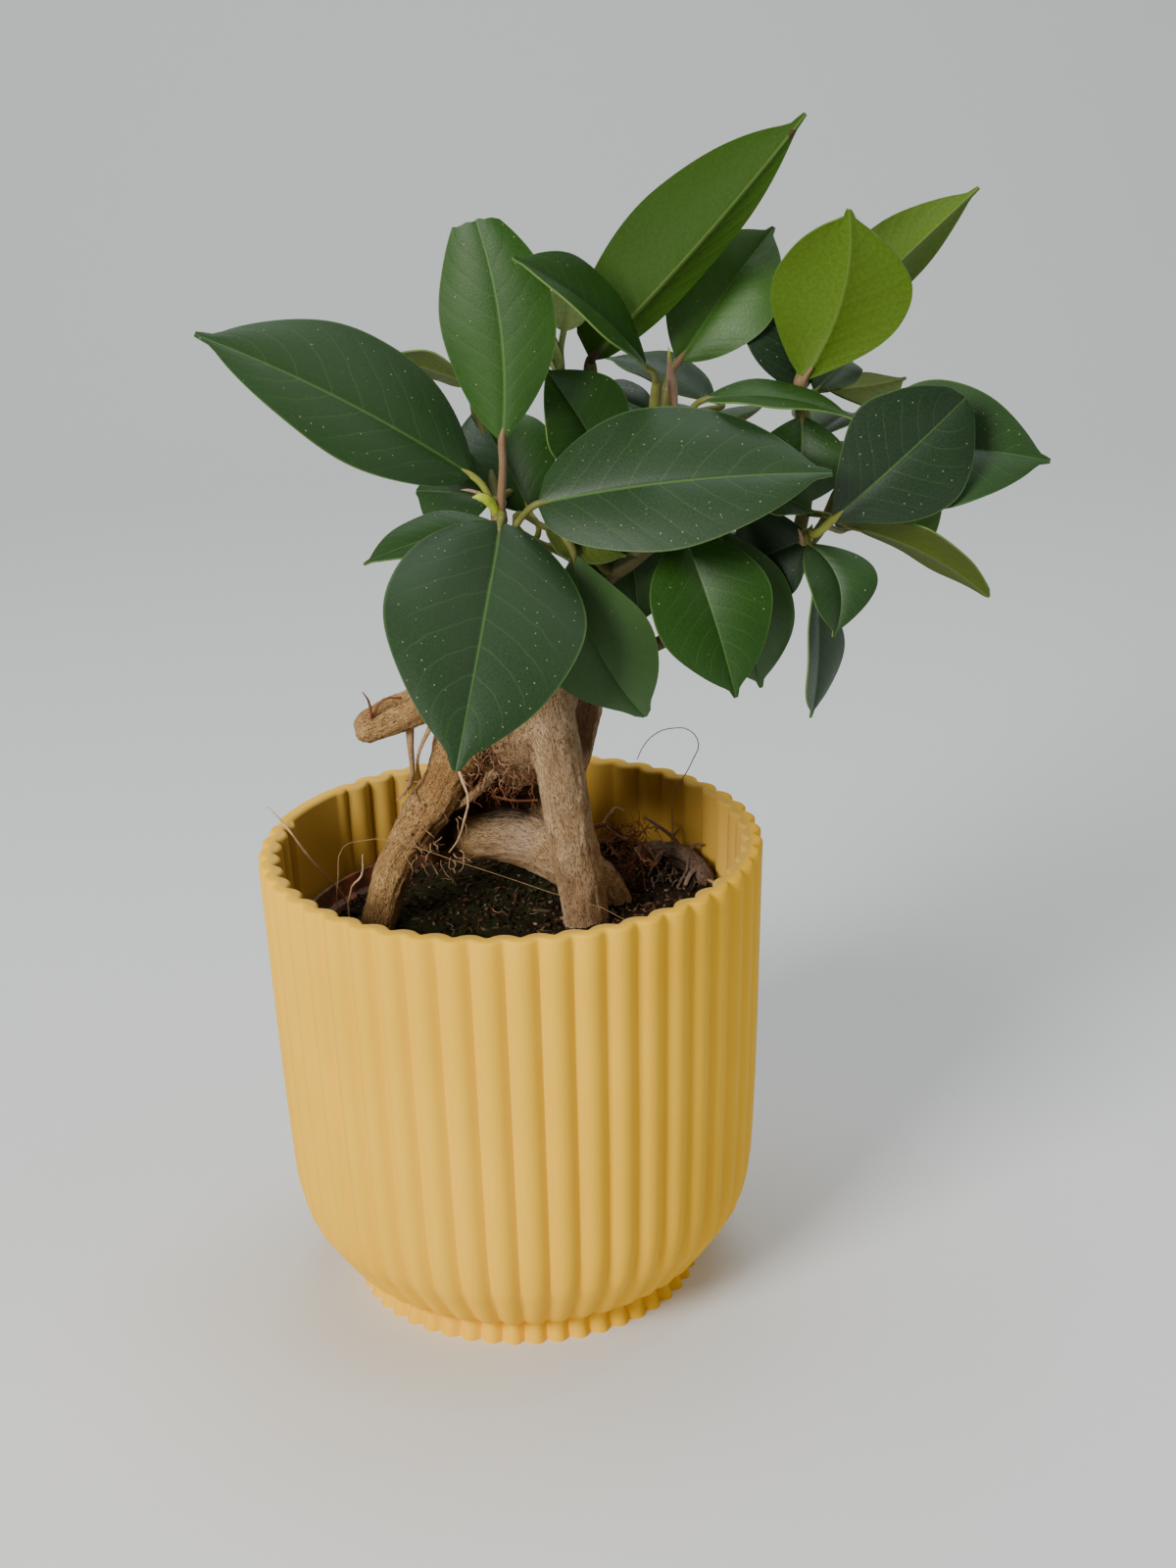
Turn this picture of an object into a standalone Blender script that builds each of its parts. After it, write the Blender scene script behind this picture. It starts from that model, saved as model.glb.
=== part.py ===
"""Potted ginseng ficus: a fluted cover pot, the nursery pot in it, soil, the swollen root and leafy stems.

The origin is the middle of the cover pot's underside, +Z is up and -Y is the plant's front.
Tables are in millimetres, and the meshes are built in metres.
"""

import math

import bmesh
import bpy
from mathutils import Vector

MM = 0.001
GAP = 0.3                 # clearance between pieces that touch
MERGE = 0.0000005         # metres, below which two corners are one

# Cover pot: radius over the rib crests, by height
POT_HEIGHT = 131.8
POT_CREST = [(0.0, 49.7), (5.0, 48.3), (9.0, 53.1), (16.0, 58.3), (25.0, 63.7), (37.0, 66.1), (130.2, 70.0)]
POT_INSIDE_LEVELS = [130.2, 37.0]
POT_FLOOR = 4.0
POT_FLOOR_RADIUS = 50.3   # measured as the crests are, so the lobes end 44 from the middle
RIM_ROUND = 0.8
FLUTES = 48
FIRST_GROOVE = math.radians(-92.5)
GROOVE_DEPTH = 1.9
WALL_AT_LOBE = 6.3        # from a crest's radius in to an inner lobe
WALL_AT_CUSP = 4.3        # from a crest in to the inner groove behind it
FLUTE_COLUMNS = [(0.0, 1.0, 1.0), (0.25, 0.2, 0.8), (0.5, 0.0, 0.0), (0.75, 0.2, 0.8)]   # phase, groove, lobe
PLAIN_FROM = math.radians(140.0)
PLAIN_TO = math.radians(159.0)
PLAIN_FADE = math.radians(4.0)

# Nursery pot that stands in it
NURSERY_SIDES = 36
NURSERY_WALL = 1.2
NURSERY_BOTTOM = POT_FLOOR + GAP
NURSERY_BOTTOM_RADIUS = 42.5
NURSERY_TOP = 107.5
NURSERY_TOP_RADIUS = 59.0
NURSERY_LIP_RADIUS = 61.4
NURSERY_LIP_HEIGHT = 7.0
DRAIN_HOLES = 5
DRAIN_RADIUS = 4.0
DRAIN_CIRCLE = 28.0

# Soil
SOIL_SIDES = 36
SOIL_GAP = 0.5            # clearance to the nursery pot, whose facets cut inside its circles
SOIL_LEVEL = 104.0
SOIL_RISE = (0.075, 0.03)     # along x and y
SOIL_RINGS = [0.3, 0.6, 0.85, 1.0]

# Swollen root: each route is (x, y, z, radius)
ROOT_ROUTES = {
    "right_leg": (10, [(10, 2, 186, 8.5), (13.5, -2, 168, 7.6), (15.5, -4, 150, 7.2), (17, -4, 134, 7.3),
                       (19.5, -2, 118, 7.5), (20.8, 2, 103, 7.6), (21.5, 4, 84, 6)]),
    "left_leg": (10, [(-2, 4, 178, 9), (-13, 1, 165, 7.6), (-20, 2, 150, 6.4), (-26, 5, 135, 5.6),
                      (-33, 8, 120, 5.4), (-39, 11, 105, 5.5), (-44, 14, 88, 4.5)]),
    "cut_stub": (8, [(-38.5, -6, 168.8, 4.4), (-30, -4, 170.5, 4.6), (-20, -1, 172.5, 5.5), (-8, 3, 176, 7)]),
    "low_root": (8, [(-17, 20, 98, 4), (-16, 20, 112, 5.6), (-12, 19, 122.5, 6.4), (-2, 18, 127, 6.8),
                     (8, 17, 123, 6.8), (18, 15, 117, 6.2), (27, 13, 110, 5), (33, 12, 98, 3.6)]),
    "body": (12, [(3, 10, 146, 9), (4, 9, 158, 14), (5, 8, 172, 15.5), (7, 8, 184, 13.5), (9, 6, 199, 8)]),
    "cut_back": (10, [(10, 16, 186, 10), (15, 15, 170, 12), (15, 14, 153, 10), (12, 14, 140, 6)]),
}
SURFACE_ROOT = (8, [(32, 42, 100, 1.8), (37, 43, 110.5, 2.0), (44, 38, 113.5, 2.4), (49, 31, 113.2, 3.4),
                    (53, 23, 112.6, 3.8), (53, 14, 108, 3.2), (50, 7, 99, 2.4)])

# Woody and green stems of each leafy stem: the first route of a list starts in the root
STEM_ROUTES = {
    "left": [[(3, 4, 190, 2.8), (2, 0, 208, 2.4), (0, -5, 222, 2.2), (-1, -7, 230, 1.8)],
             [(1, -3, 216, 1.8), (0, 8, 226, 1.7), (-3, 22, 240, 1.6), (-5, 32, 251, 1.3)],
             [(2, 0, 208, 1.8), (5, 10, 209, 1.6), (10, 19, 206, 1.4)]],
    "middle": [[(12, 11, 192, 3), (24, 16, 208, 2.6), (33, 17, 222, 2.4), (38, 16, 235, 2.0)],
               [(33, 17, 222, 2.0), (29, 16, 240, 1.8), (27, 16, 261, 1.4)],
               [(38, 16, 234, 1.8), (43, 11, 246, 1.6), (44, 7, 258, 1.3)],
               [(38, 16, 234, 1.8), (46, 22, 244, 1.6), (49, 24, 257, 1.3)],
               [(38, 16, 234, 1.8), (48, 28, 238, 1.6), (58, 40, 241, 1.3)],
               [(29, 16, 242, 1.2), (22, 15, 250, 1.1), (19, 15, 258, 1.0)]],
    "low": [[(17, 2, 188, 2.6), (28, 3, 204, 2.2), (42, 1, 215, 2), (53, -3, 222, 1.6)]],
    "right": [[(17, 7, 180, 3), (30, 4, 181, 2.3), (41, 4, 185, 1.9), (48, 4, 188.5, 1.8), (62, 3, 196, 1.8),
               (78, 1, 206, 1.8), (82, -4, 217, 1.6)],
              [(79, 0, 208, 1.8), (84, 9, 226, 1.7), (83, 12, 242, 1.7), (82, 12, 255, 1.4)],
              [(84, 10, 232, 1.6), (85, 20, 242, 1.5), (85, 34, 246, 1.3)],
              [(79, 0, 208, 1.6), (88, 8, 216, 1.6), (96, 14, 230, 1.3)]],
}
STEM_SIDES = 6
PETIOLE_SIDES = 4

# Leaves: base, tip, width, the way the upper side faces, and how the blade is shaped
LEAF_THICK = 0.7
LARGE_BLADE_WIDTH = 24.0
LARGE_BLADE_ROWS = 7
SMALL_BLADE_ROWS = 5
PETIOLE_RADIUS = 0.95
TINY_BLADE_WIDTH = 10.0
TINY_PETIOLE_RADIUS = 0.7
PETIOLE_REACH = 9.0       # how far back along its own line a leaf looks for its stem
PETIOLE_BEND = 0.4        # where the stalk turns into the leaf's line, as a share of its length
PETIOLE_IN_BLADE = 4.0
OVAL_END = 0.95           # where a blade's oval closes, as a share of its length
OVAL_FULLNESS = 0.8
DRIP_MIDDLE = 0.84        # the drip tip's middle and half length, as shares of the blade's length
DRIP_REACH = 0.16
NARROWEST = 0.035         # half width at both ends, as a share of the widest
HOOK_START = 0.76         # where a hooked leaf starts to bend over
HOOK_LENGTH = 0.12
LEAVES = {
    "left": [
        ((-6, -9, 238), (-73, -22, 280), 37, (.15, -.72, .68), dict(fold=12, belly=.46, arch=3)),
        ((2, -9, 248), (0, 2, 310), 30, (-.2, -.97, .2), dict(fold=10, belly=.5, arch=2, sway=1.5, hook=80)),
        ((1, -12, 226), (-13, -62, 176), 52, (.05, -.78, .62), dict(fold=5, belly=.48, arch=8, blunt=.15)),
        ((11, -14, 231), (86, -26, 239), 47, (.02, -.72, .69), dict(fold=10, belly=.45, arch=3)),
        ((0, -5, 225), (-35, -17, 218), 18, (-.15, -.45, .88), dict(fold=12, arch=2)),
        ((-1, 0, 228), (-20, 12, 229), 20, (0, -.5, .86), dict(fold=6, arch=2, blunt=.2)),
        ((7, 12, 230), (-5, 30, 247), 28, (.1, -.8, .6), dict(fold=10, arch=3)),
        ((-4, 34, 252), (-32, 42, 260), 22, (0, .5, .86), dict(fold=8, arch=2)),
        ((-4, 11, 226), (-32, 47, 208), 30, (-.2, .25, .95), dict(fold=8, arch=5)),
        ((4, 14, 227), (12, 60, 214), 32, (0, .1, 1), dict(fold=10, arch=6)),
        ((11, 21, 205), (-6, 58, 190), 28, (-.1, .4, .9), dict(fold=8, arch=5)),
    ],
    "middle": [
        ((30, 10, 234), (14, 3, 263), 28, (.3, -.85, .4), dict(fold=16, arch=2)),
        ((41, 3, 262), (8, -17, 290), 25, (.55, -.3, .78), dict(fold=14, arch=2)),
        ((28, 16, 266), (82, -4, 326), 42, (.62, .72, .3),
         dict(fold=22, fold_right=66, slim=.8, belly=.45, arch=2)),
        ((51, 24, 259), (78, 33, 292), 30, (-.2, -.9, .4), dict(fold=14, arch=3)),
        ((20, 16, 270), (23, 18, 285), 11, (0, .9, .2), dict(fold=20, belly=.4)),
        ((18, 14, 259), (15, 12, 270), 5, (-.5, -.6, .3), dict(fold=10, belly=.4)),
        ((62, 46, 243), (33, 56, 254), 26, (0, -.1, .99), dict(fold=6, belly=.45, arch=2)),
        ((45, 32, 242), (26, 38, 248), 15, (0, -.5, .86), dict(fold=6, arch=2)),
        ((44, 28, 232), (26, 70, 220), 32, (0, .3, .95), dict(fold=8, arch=6)),
        ((56, 38, 236), (68, 78, 226), 30, (.1, .3, .95), dict(fold=10, arch=5)),
        ((56, -2, 254), (93, -13, 250), 20, (0, -.12, .99), dict(fold=6, belly=.4, arch=3)),
    ],
    "low": [
        ((49, -12, 220), (61, -24, 179), 33, (.1, -.88, .45), dict(fold=8, belly=.48, arch=4)),
        ((59, -3, 219), (69, -11, 177), 27, (.1, -.88, .45), dict(fold=8, belly=.6, arch=4)),
        ((20, -5, 215), (38, -22, 174), 32, (.25, -.85, .45),
         dict(fold=8, belly=.55, arch=4, sway=6, blunt=.16)),
        ((37, 13, 214), (37, 11, 189), 21, (0, -.9, .4), dict(fold=8, arch=3)),
        ((54, 8, 212), (66, 48, 188), 30, (0, .6, .8), dict(fold=8, arch=5)),
        ((13, 3, 215), (34, -4, 209), 14, (0, -.4, .9), dict(fold=8, arch=2)),
        ((68, -9, 232), (83, -12, 225), 13, (.1, -.7, .7), dict(fold=8, belly=.4, arch=1)),
    ],
    "right": [
        ((83, 8, 256), (93, -4, 302), 38, (.05, .97, .1), dict(fold=8, belly=.56, arch=3, sway=-3.5)),
        ((90, 24, 264), (133, 32, 301), 25, (.55, .7, .35), dict(fold=20, fold_right=56, belly=.45, arch=3)),
        ((84, 20, 250), (77, 30, 278), 24, (-.25, -.9, .3), dict(fold=24, arch=3)),
        ((88, 24, 249), (100, 38, 254), 16, (0, -.5, .8), dict(fold=12, arch=2)),
        ((93, 36, 242), (120, 44, 242), 18, (0, .55, .83), dict(fold=8, arch=3)),
        ((82, 4, 247), (80, 0, 223), 26, (0, -.95, .3), dict(fold=10, arch=3)),
        ((88, -12, 223), (124, -8, 254), 36, (.1, -.92, .4), dict(fold=6, arch=3, blunt=.3)),
        ((97, 10, 237), (147, -3, 234), 36, (.05, -.85, .5), dict(fold=8, belly=.45, arch=5)),
        ((94, -1, 218), (130, -12, 200), 26, (.2, .6, .8), dict(fold=12, belly=.55, arch=4)),
        ((107, 24, 229), (118, 22, 208), 18, (0, -.8, .5), dict(fold=8, arch=2)),
        ((80, 2, 215), (62, 18, 217), 28, (-.1, -.7, .7), dict(fold=10, arch=3)),
        ((82, -10, 216), (87, -22, 194), 21, (.3, -.8, .5), dict(fold=14, arch=4, sway=-3.5)),
        ((84, -4, 208), (83, -6, 166), 26, (.92, -.3, .2), dict(fold=8, belly=.62, arch=2)),
        ((89, 27, 236), (112, 64, 228), 32, (.1, .3, .95), dict(fold=8, arch=5)),
        ((94, 16, 212), (122, 52, 194), 28, (.3, .3, .9), dict(fold=8, arch=5)),
    ],
}


def clear_scene():
    for obj in list(bpy.data.objects):
        bpy.data.objects.remove(obj, do_unlink=True)


def make_material(name, color, roughness):
    material = bpy.data.materials.new(name)
    material.use_nodes = True
    shader = material.node_tree.nodes["Principled BSDF"]
    shader.inputs["Base Color"].default_value = (*color, 1.0)
    shader.inputs["Roughness"].default_value = roughness
    shader.inputs["Metallic"].default_value = 0.0
    return material


def add_mesh_object(name, mesh):
    obj = bpy.data.objects.new(name, mesh)
    bpy.context.scene.collection.objects.link(obj)
    return obj


def object_from_bmesh(name, bm):
    bmesh.ops.recalc_face_normals(bm, faces=bm.faces)
    mesh = bpy.data.meshes.new(name)
    bm.to_mesh(mesh)
    bm.free()
    return add_mesh_object(name, mesh)


def bake_modifiers(obj):
    """Replace an object's mesh by what its modifiers make of it."""
    depsgraph = bpy.context.evaluated_depsgraph_get()
    mesh = bpy.data.meshes.new_from_object(obj.evaluated_get(depsgraph))
    obj.modifiers.clear()
    obj.data = mesh


def run_boolean(obj, others, operation):
    """Union with, or cut by, every object in others, which are then removed."""
    group = bpy.data.collections.new(obj.name + "_operands")
    bpy.context.scene.collection.children.link(group)
    for other in others:
        for collection in list(other.users_collection):
            collection.objects.unlink(other)
        group.objects.link(other)
    modifier = obj.modifiers.new(operation, "BOOLEAN")
    modifier.operation = operation
    modifier.operand_type = "COLLECTION"
    modifier.collection = group
    modifier.solver = "EXACT"
    bake_modifiers(obj)
    for other in others:
        bpy.data.objects.remove(other, do_unlink=True)
    bpy.data.collections.remove(group)


def finish_node(obj, material, smooth_angle=35.0):
    """Triangulate, keep the largest body and give the node its material."""
    bm = bmesh.new()
    bm.from_mesh(obj.data)
    bmesh.ops.remove_doubles(bm, verts=bm.verts, dist=MERGE)
    bmesh.ops.triangulate(bm, faces=bm.faces)
    drop_scraps(bm)
    bm.to_mesh(obj.data)
    bm.free()
    obj.data.materials.clear()
    obj.data.materials.append(material)
    obj.data.shade_smooth()
    obj.data.set_sharp_from_angle(angle=math.radians(smooth_angle))


def drop_scraps(bm):
    unseen = set(bm.faces)
    bodies = []
    while unseen:
        body = [unseen.pop()]
        for face in body:
            for edge in face.edges:
                for other in edge.link_faces:
                    if other in unseen:
                        unseen.remove(other)
                        body.append(other)
        bodies.append(body)
    bodies.sort(key=len)
    scraps = [face for body in bodies[:-1] for face in body]
    bmesh.ops.delete(bm, geom=scraps, context="FACES")


def loft(name, rings):
    """Join closed rings of points, in millimetres, one after another, and cap both ends."""
    bm = bmesh.new()
    rows = [[bm.verts.new(Vector(point) * MM) for point in ring] for ring in rings]
    count = len(rows[0])
    for lower, upper in zip(rows, rows[1:]):
        for i in range(count):
            j = (i + 1) % count
            bm.faces.new((lower[i], lower[j], upper[j], upper[i]))
    bm.faces.new(rows[0])
    bm.faces.new(rows[-1])
    return object_from_bmesh(name, bm)


def circle(radius, height, sides):
    step = 2 * math.pi / sides
    return [(radius * math.cos(i * step), radius * math.sin(i * step), height) for i in range(sides)]


def crest_radius(height):
    """Radius over the rib crests at a height, straight between the profile's points."""
    for (low, low_radius), (high, high_radius) in zip(POT_CREST, POT_CREST[1:]):
        if height <= high:
            share = (height - low) / (high - low)
            return low_radius + (high_radius - low_radius) * share
    return POT_CREST[-1][1]


def plain_share(angle):
    """1 inside the plain stretch of the wall, 0 well outside it."""
    angle = angle % (2 * math.pi)
    outside = max(PLAIN_FROM - angle, angle - PLAIN_TO, 0.0)
    return max(0.0, 1.0 - outside / PLAIN_FADE)


def pot_ring(height, radius, wall):
    """One ring of the fluted wall: outer grooves, or the inner lobes that back them."""
    ring = []
    for flute in range(FLUTES):
        for phase, groove, lobe in FLUTE_COLUMNS:
            angle = FIRST_GROOVE + (flute + phase) * 2 * math.pi / FLUTES
            fluted = 1.0 - plain_share(angle)
            if wall == "outer":
                inward = GROOVE_DEPTH * groove * fluted
            else:
                inward = WALL_AT_CUSP + (WALL_AT_LOBE - WALL_AT_CUSP) * lobe * fluted
            reach = radius - inward
            ring.append((reach * math.cos(angle), reach * math.sin(angle), height))
    return ring


def make_cover_pot():
    rings = [pot_ring(height, radius, "outer") for height, radius in POT_CREST]
    top_radius = POT_CREST[-1][1]
    rings.append(pot_ring(POT_HEIGHT, top_radius - RIM_ROUND, "outer"))
    rings.append(pot_ring(POT_HEIGHT, top_radius + RIM_ROUND, "inner"))
    rings += [pot_ring(height, crest_radius(height), "inner") for height in POT_INSIDE_LEVELS]
    rings.append(pot_ring(POT_FLOOR, POT_FLOOR_RADIUS, "inner"))
    return loft("cover_pot", rings)


def make_nursery_pot():
    lip_bottom = NURSERY_TOP - NURSERY_LIP_HEIGHT
    profile = [
        (NURSERY_BOTTOM_RADIUS, NURSERY_BOTTOM),
        (NURSERY_TOP_RADIUS, lip_bottom),
        (NURSERY_LIP_RADIUS, lip_bottom),
        (NURSERY_LIP_RADIUS, NURSERY_TOP),
        (NURSERY_LIP_RADIUS - NURSERY_WALL, NURSERY_TOP),
        (NURSERY_LIP_RADIUS - NURSERY_WALL, lip_bottom + NURSERY_WALL),
        (NURSERY_TOP_RADIUS - NURSERY_WALL, lip_bottom + NURSERY_WALL),
        (NURSERY_BOTTOM_RADIUS - NURSERY_WALL, NURSERY_BOTTOM + NURSERY_WALL),
    ]
    pot = loft("nursery_pot", [circle(radius, height, NURSERY_SIDES) for radius, height in profile])
    run_boolean(pot, [drain_cutter(i) for i in range(DRAIN_HOLES)], "DIFFERENCE")
    return pot


def drain_cutter(index):
    angle = 2 * math.pi * index / DRAIN_HOLES
    place = Vector((DRAIN_CIRCLE * math.cos(angle), DRAIN_CIRCLE * math.sin(angle), NURSERY_BOTTOM))
    bpy.ops.mesh.primitive_cylinder_add(vertices=8, radius=DRAIN_RADIUS * MM, depth=4 * NURSERY_WALL * MM,
                                        location=place * MM)
    return bpy.context.object


def soil_height(x, y):
    """The soil's top leans up to the right and has low bumps."""
    bumps = 0.8 * math.sin(0.35 * x + 1.0) * math.cos(0.3 * y) + 0.5 * math.sin(0.21 * y + 0.1 * x)
    return SOIL_LEVEL + SOIL_RISE[0] * x + SOIL_RISE[1] * y + bumps


def nursery_inside(height):
    low = NURSERY_BOTTOM + NURSERY_WALL
    high = NURSERY_TOP - NURSERY_LIP_HEIGHT + NURSERY_WALL
    share = min(1.0, (height - low) / (high - low))
    return NURSERY_BOTTOM_RADIUS - NURSERY_WALL + (NURSERY_TOP_RADIUS - NURSERY_BOTTOM_RADIUS) * share


def make_soil(root_cutters):
    low = NURSERY_BOTTOM + NURSERY_WALL + GAP
    edge = nursery_inside(NURSERY_TOP - NURSERY_LIP_HEIGHT) - SOIL_GAP
    rings = [circle(nursery_inside(low) - SOIL_GAP, low, SOIL_SIDES)]
    for share in reversed(SOIL_RINGS):
        flat = circle(edge * share, 0.0, SOIL_SIDES)
        rings.append([(x, y, soil_height(x, y)) for x, y, _ in flat])
    soil = loft("soil", rings)
    run_boolean(soil, root_cutters, "DIFFERENCE")
    return soil


def smooth_route(route, steps):
    """A curve through the route's points, with its radius, as a list of 4-vectors."""
    points = [Vector(point) for point in route]
    padded = [points[0] * 2 - points[1]] + points + [points[-1] * 2 - points[-2]]
    smooth = []
    for a, b, c, d in zip(padded, padded[1:], padded[2:], padded[3:]):
        for i in range(steps):
            t = i / steps
            smooth.append(0.5 * (2 * b + (c - a) * t + (2 * a - 5 * b + 4 * c - d) * t ** 2
                                 + (3 * b - a - 3 * c + d) * t ** 3))
    smooth.append(points[-1])
    return smooth


def make_tube(name, route, sides, steps=2, grow=0.0):
    """A closed tube along a route; grow widens and lengthens it, for a cutter."""
    points = smooth_route(route, steps)
    if grow:
        points[0] = points[0] + (points[0] - points[1]).normalized() * grow
        points[-1] = points[-1] + (points[-1] - points[-2]).normalized() * grow
    curve = bpy.data.curves.new(name, "CURVE")
    curve.dimensions = "3D"
    curve.bevel_depth = MM
    curve.bevel_resolution = (sides - 4) // 2
    curve.use_fill_caps = True
    spline = curve.splines.new("POLY")
    spline.points.add(len(points) - 1)
    for target, point in zip(spline.points, points):
        target.co = (point[0] * MM, point[1] * MM, point[2] * MM, 1.0)
        target.radius = point[3] + grow
    obj = add_mesh_object(name, curve)
    depsgraph = bpy.context.evaluated_depsgraph_get()
    mesh = bpy.data.meshes.new_from_object(obj.evaluated_get(depsgraph))
    bpy.data.objects.remove(obj, do_unlink=True)
    return add_mesh_object(name, mesh)


def root_cutters():
    """The roots that enter the soil, a gap larger all round."""
    routes = [ROOT_ROUTES[name] for name in ("right_leg", "left_leg", "low_root")] + [SURFACE_ROOT]
    return [make_tube("root_cutter", route, sides, grow=GAP) for sides, route in routes]


def make_root():
    tubes = [make_tube(name, route, sides) for name, (sides, route) in ROOT_ROUTES.items()]
    root = tubes[0]
    root.name = "ginseng_root"
    run_boolean(root, tubes[1:], "UNION")
    sockets = [make_tube("socket_cutter", routes[0], STEM_SIDES, grow=GAP) for routes in STEM_ROUTES.values()]
    run_boolean(root, sockets, "DIFFERENCE")
    return root


def blade_half_width(u, belly, blunt):
    """Half width of a blade as a share of its widest half, from its base at 0 to its drip tip at 1."""
    power = math.log(0.5) / math.log(belly)
    oval = max(0.0, math.sin(math.pi * min(u / OVAL_END, 1.0) ** power)) ** OVAL_FULLNESS
    near_tip = (u - DRIP_MIDDLE) / DRIP_REACH
    drip = blunt * math.sqrt(1.0 - near_tip ** 2) if abs(near_tip) < 1.0 else 0.0
    return max((oval ** 3 + drip ** 3) ** (1 / 3), NARROWEST)


def blade_axes(base, tip, face):
    base = Vector(base)
    along = Vector(tip) - base
    length = along.length
    along.normalize()
    up = Vector(face)
    up = (up - along * up.dot(along)).normalized()
    return base, length, along, up, along.cross(up)


def blade_point(leaf, u, v):
    """A point of a blade's middle surface: u runs from base to tip, v from edge to edge."""
    base, tip, width, face, shape = leaf
    base, length, along, up, side = blade_axes(base, tip, face)
    hook = math.radians(shape.get("hook", 0.0))
    spine = min(u, HOOK_START) if hook else u
    bow = 4 * spine * (1 - spine)
    centre = base + along * (length * spine) + up * (shape.get("arch", 0) * bow)
    centre += side * (shape.get("sway", 0) * bow)
    if hook and u > HOOK_START:
        bend_radius = HOOK_LENGTH * length / hook
        beyond = (u - HOOK_START) * length
        turn = min(hook, beyond / bend_radius)
        centre += along * (bend_radius * math.sin(turn)) - up * (bend_radius * (1 - math.cos(turn)))
        onward = along * math.cos(turn) - up * math.sin(turn)
        centre += onward * max(0.0, beyond - bend_radius * hook)
        up = up * math.cos(turn) + along * math.sin(turn)
    half = width / 2 * blade_half_width(u, shape.get("belly", 0.5), shape.get("blunt", 0.12))
    fold = math.radians(shape["fold"])
    if v < 0:
        fold = math.radians(shape.get("fold_right", shape["fold"]))
        half *= shape.get("slim", 1.0)
    return centre + side * (v * half * math.cos(fold)) + up * (abs(v) * half * math.sin(fold))


def make_blade(name, leaf):
    rows = LARGE_BLADE_ROWS if leaf[2] > LARGE_BLADE_WIDTH else SMALL_BLADE_ROWS
    bm = bmesh.new()
    grid = [[bm.verts.new(blade_point(leaf, i / rows, v) * MM) for v in (-1, 0, 1)] for i in range(rows + 1)]
    for lower, upper in zip(grid, grid[1:]):
        for j in range(2):
            bm.faces.new((lower[j], lower[j + 1], upper[j + 1], upper[j]))
    bmesh.ops.triangulate(bm, faces=bm.faces)
    mesh = bpy.data.meshes.new(name)
    bm.to_mesh(mesh)
    bm.free()
    blade = add_mesh_object(name, mesh)
    solidify = blade.modifiers.new("thickness", "SOLIDIFY")
    solidify.thickness = LEAF_THICK * MM
    solidify.offset = 0.0
    bake_modifiers(blade)
    return blade


def nearest_on_stems(point, routes):
    """The point of a leafy stem's routes that lies nearest to a given point."""
    best = None
    for route in routes:
        places = [Vector(place[:3]) for place in route]
        for a, b in zip(places, places[1:]):
            share = max(0.0, min(1.0, (point - a).dot(b - a) / (b - a).length_squared))
            place = a.lerp(b, share)
            if best is None or (place - point).length < (best - point).length:
                best = place
    return best


def make_petiole(name, leaf, routes):
    """A thin stalk from the stem to a little way into the blade."""
    base, length, along, _, _ = blade_axes(leaf[0], leaf[1], leaf[3])
    root = nearest_on_stems(base - along * PETIOLE_REACH, routes)
    end = blade_point(leaf, PETIOLE_IN_BLADE / length, 0.0)
    bend = base - along * (PETIOLE_BEND * (base - root).length)
    radius = PETIOLE_RADIUS if leaf[2] > TINY_BLADE_WIDTH else TINY_PETIOLE_RADIUS
    route = [(*root, radius * 1.15), (*bend, radius), (*base, radius), (*end, radius * 0.7)]
    return make_tube(name, route, PETIOLE_SIDES, steps=1)


def make_leafy_stem(shoot):
    routes = STEM_ROUTES[shoot]
    stems = [make_tube(shoot + "_stem", route, STEM_SIDES) for route in routes]
    parts = []
    for leaf in LEAVES[shoot]:
        parts.append(make_petiole(shoot + "_petiole", leaf, routes))
        parts.append(make_blade(shoot + "_blade", leaf))
    node = stems[0]
    node.name = "leafy_stem_" + shoot
    run_boolean(node, stems[1:] + parts, "UNION")
    return node


def main():
    clear_scene()
    yellow_plastic = make_material("yellow_plastic", (0.85, 0.56, 0.17), 0.55)
    terracotta_plastic = make_material("terracotta_plastic", (0.35, 0.09, 0.04), 0.6)
    dark_soil = make_material("dark_soil", (0.05, 0.03, 0.02), 0.95)
    pale_bark = make_material("pale_bark", (0.42, 0.27, 0.14), 0.8)
    ficus_leaf = make_material("ficus_leaf", (0.04, 0.14, 0.03), 0.35)

    finish_node(make_cover_pot(), yellow_plastic)
    finish_node(make_nursery_pot(), terracotta_plastic)
    finish_node(make_soil(root_cutters()), dark_soil)
    finish_node(make_root(), pale_bark)
    sides, route = SURFACE_ROOT
    finish_node(make_tube("surface_root", route, sides), pale_bark)
    for shoot in STEM_ROUTES:
        finish_node(make_leafy_stem(shoot), ficus_leaf)


main()
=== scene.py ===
# Potted ginseng ficus: the finished looks of the fluted cover pot, the nursery pot, the soil, the swollen
# root and the leafy stems. Lengths in the settings are millimetres; the pot's axis is Z, its front faces -Y.

import math
import random

import bmesh
import bpy
from mathutils import Matrix, Vector, noise
from mathutils.kdtree import KDTree


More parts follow.
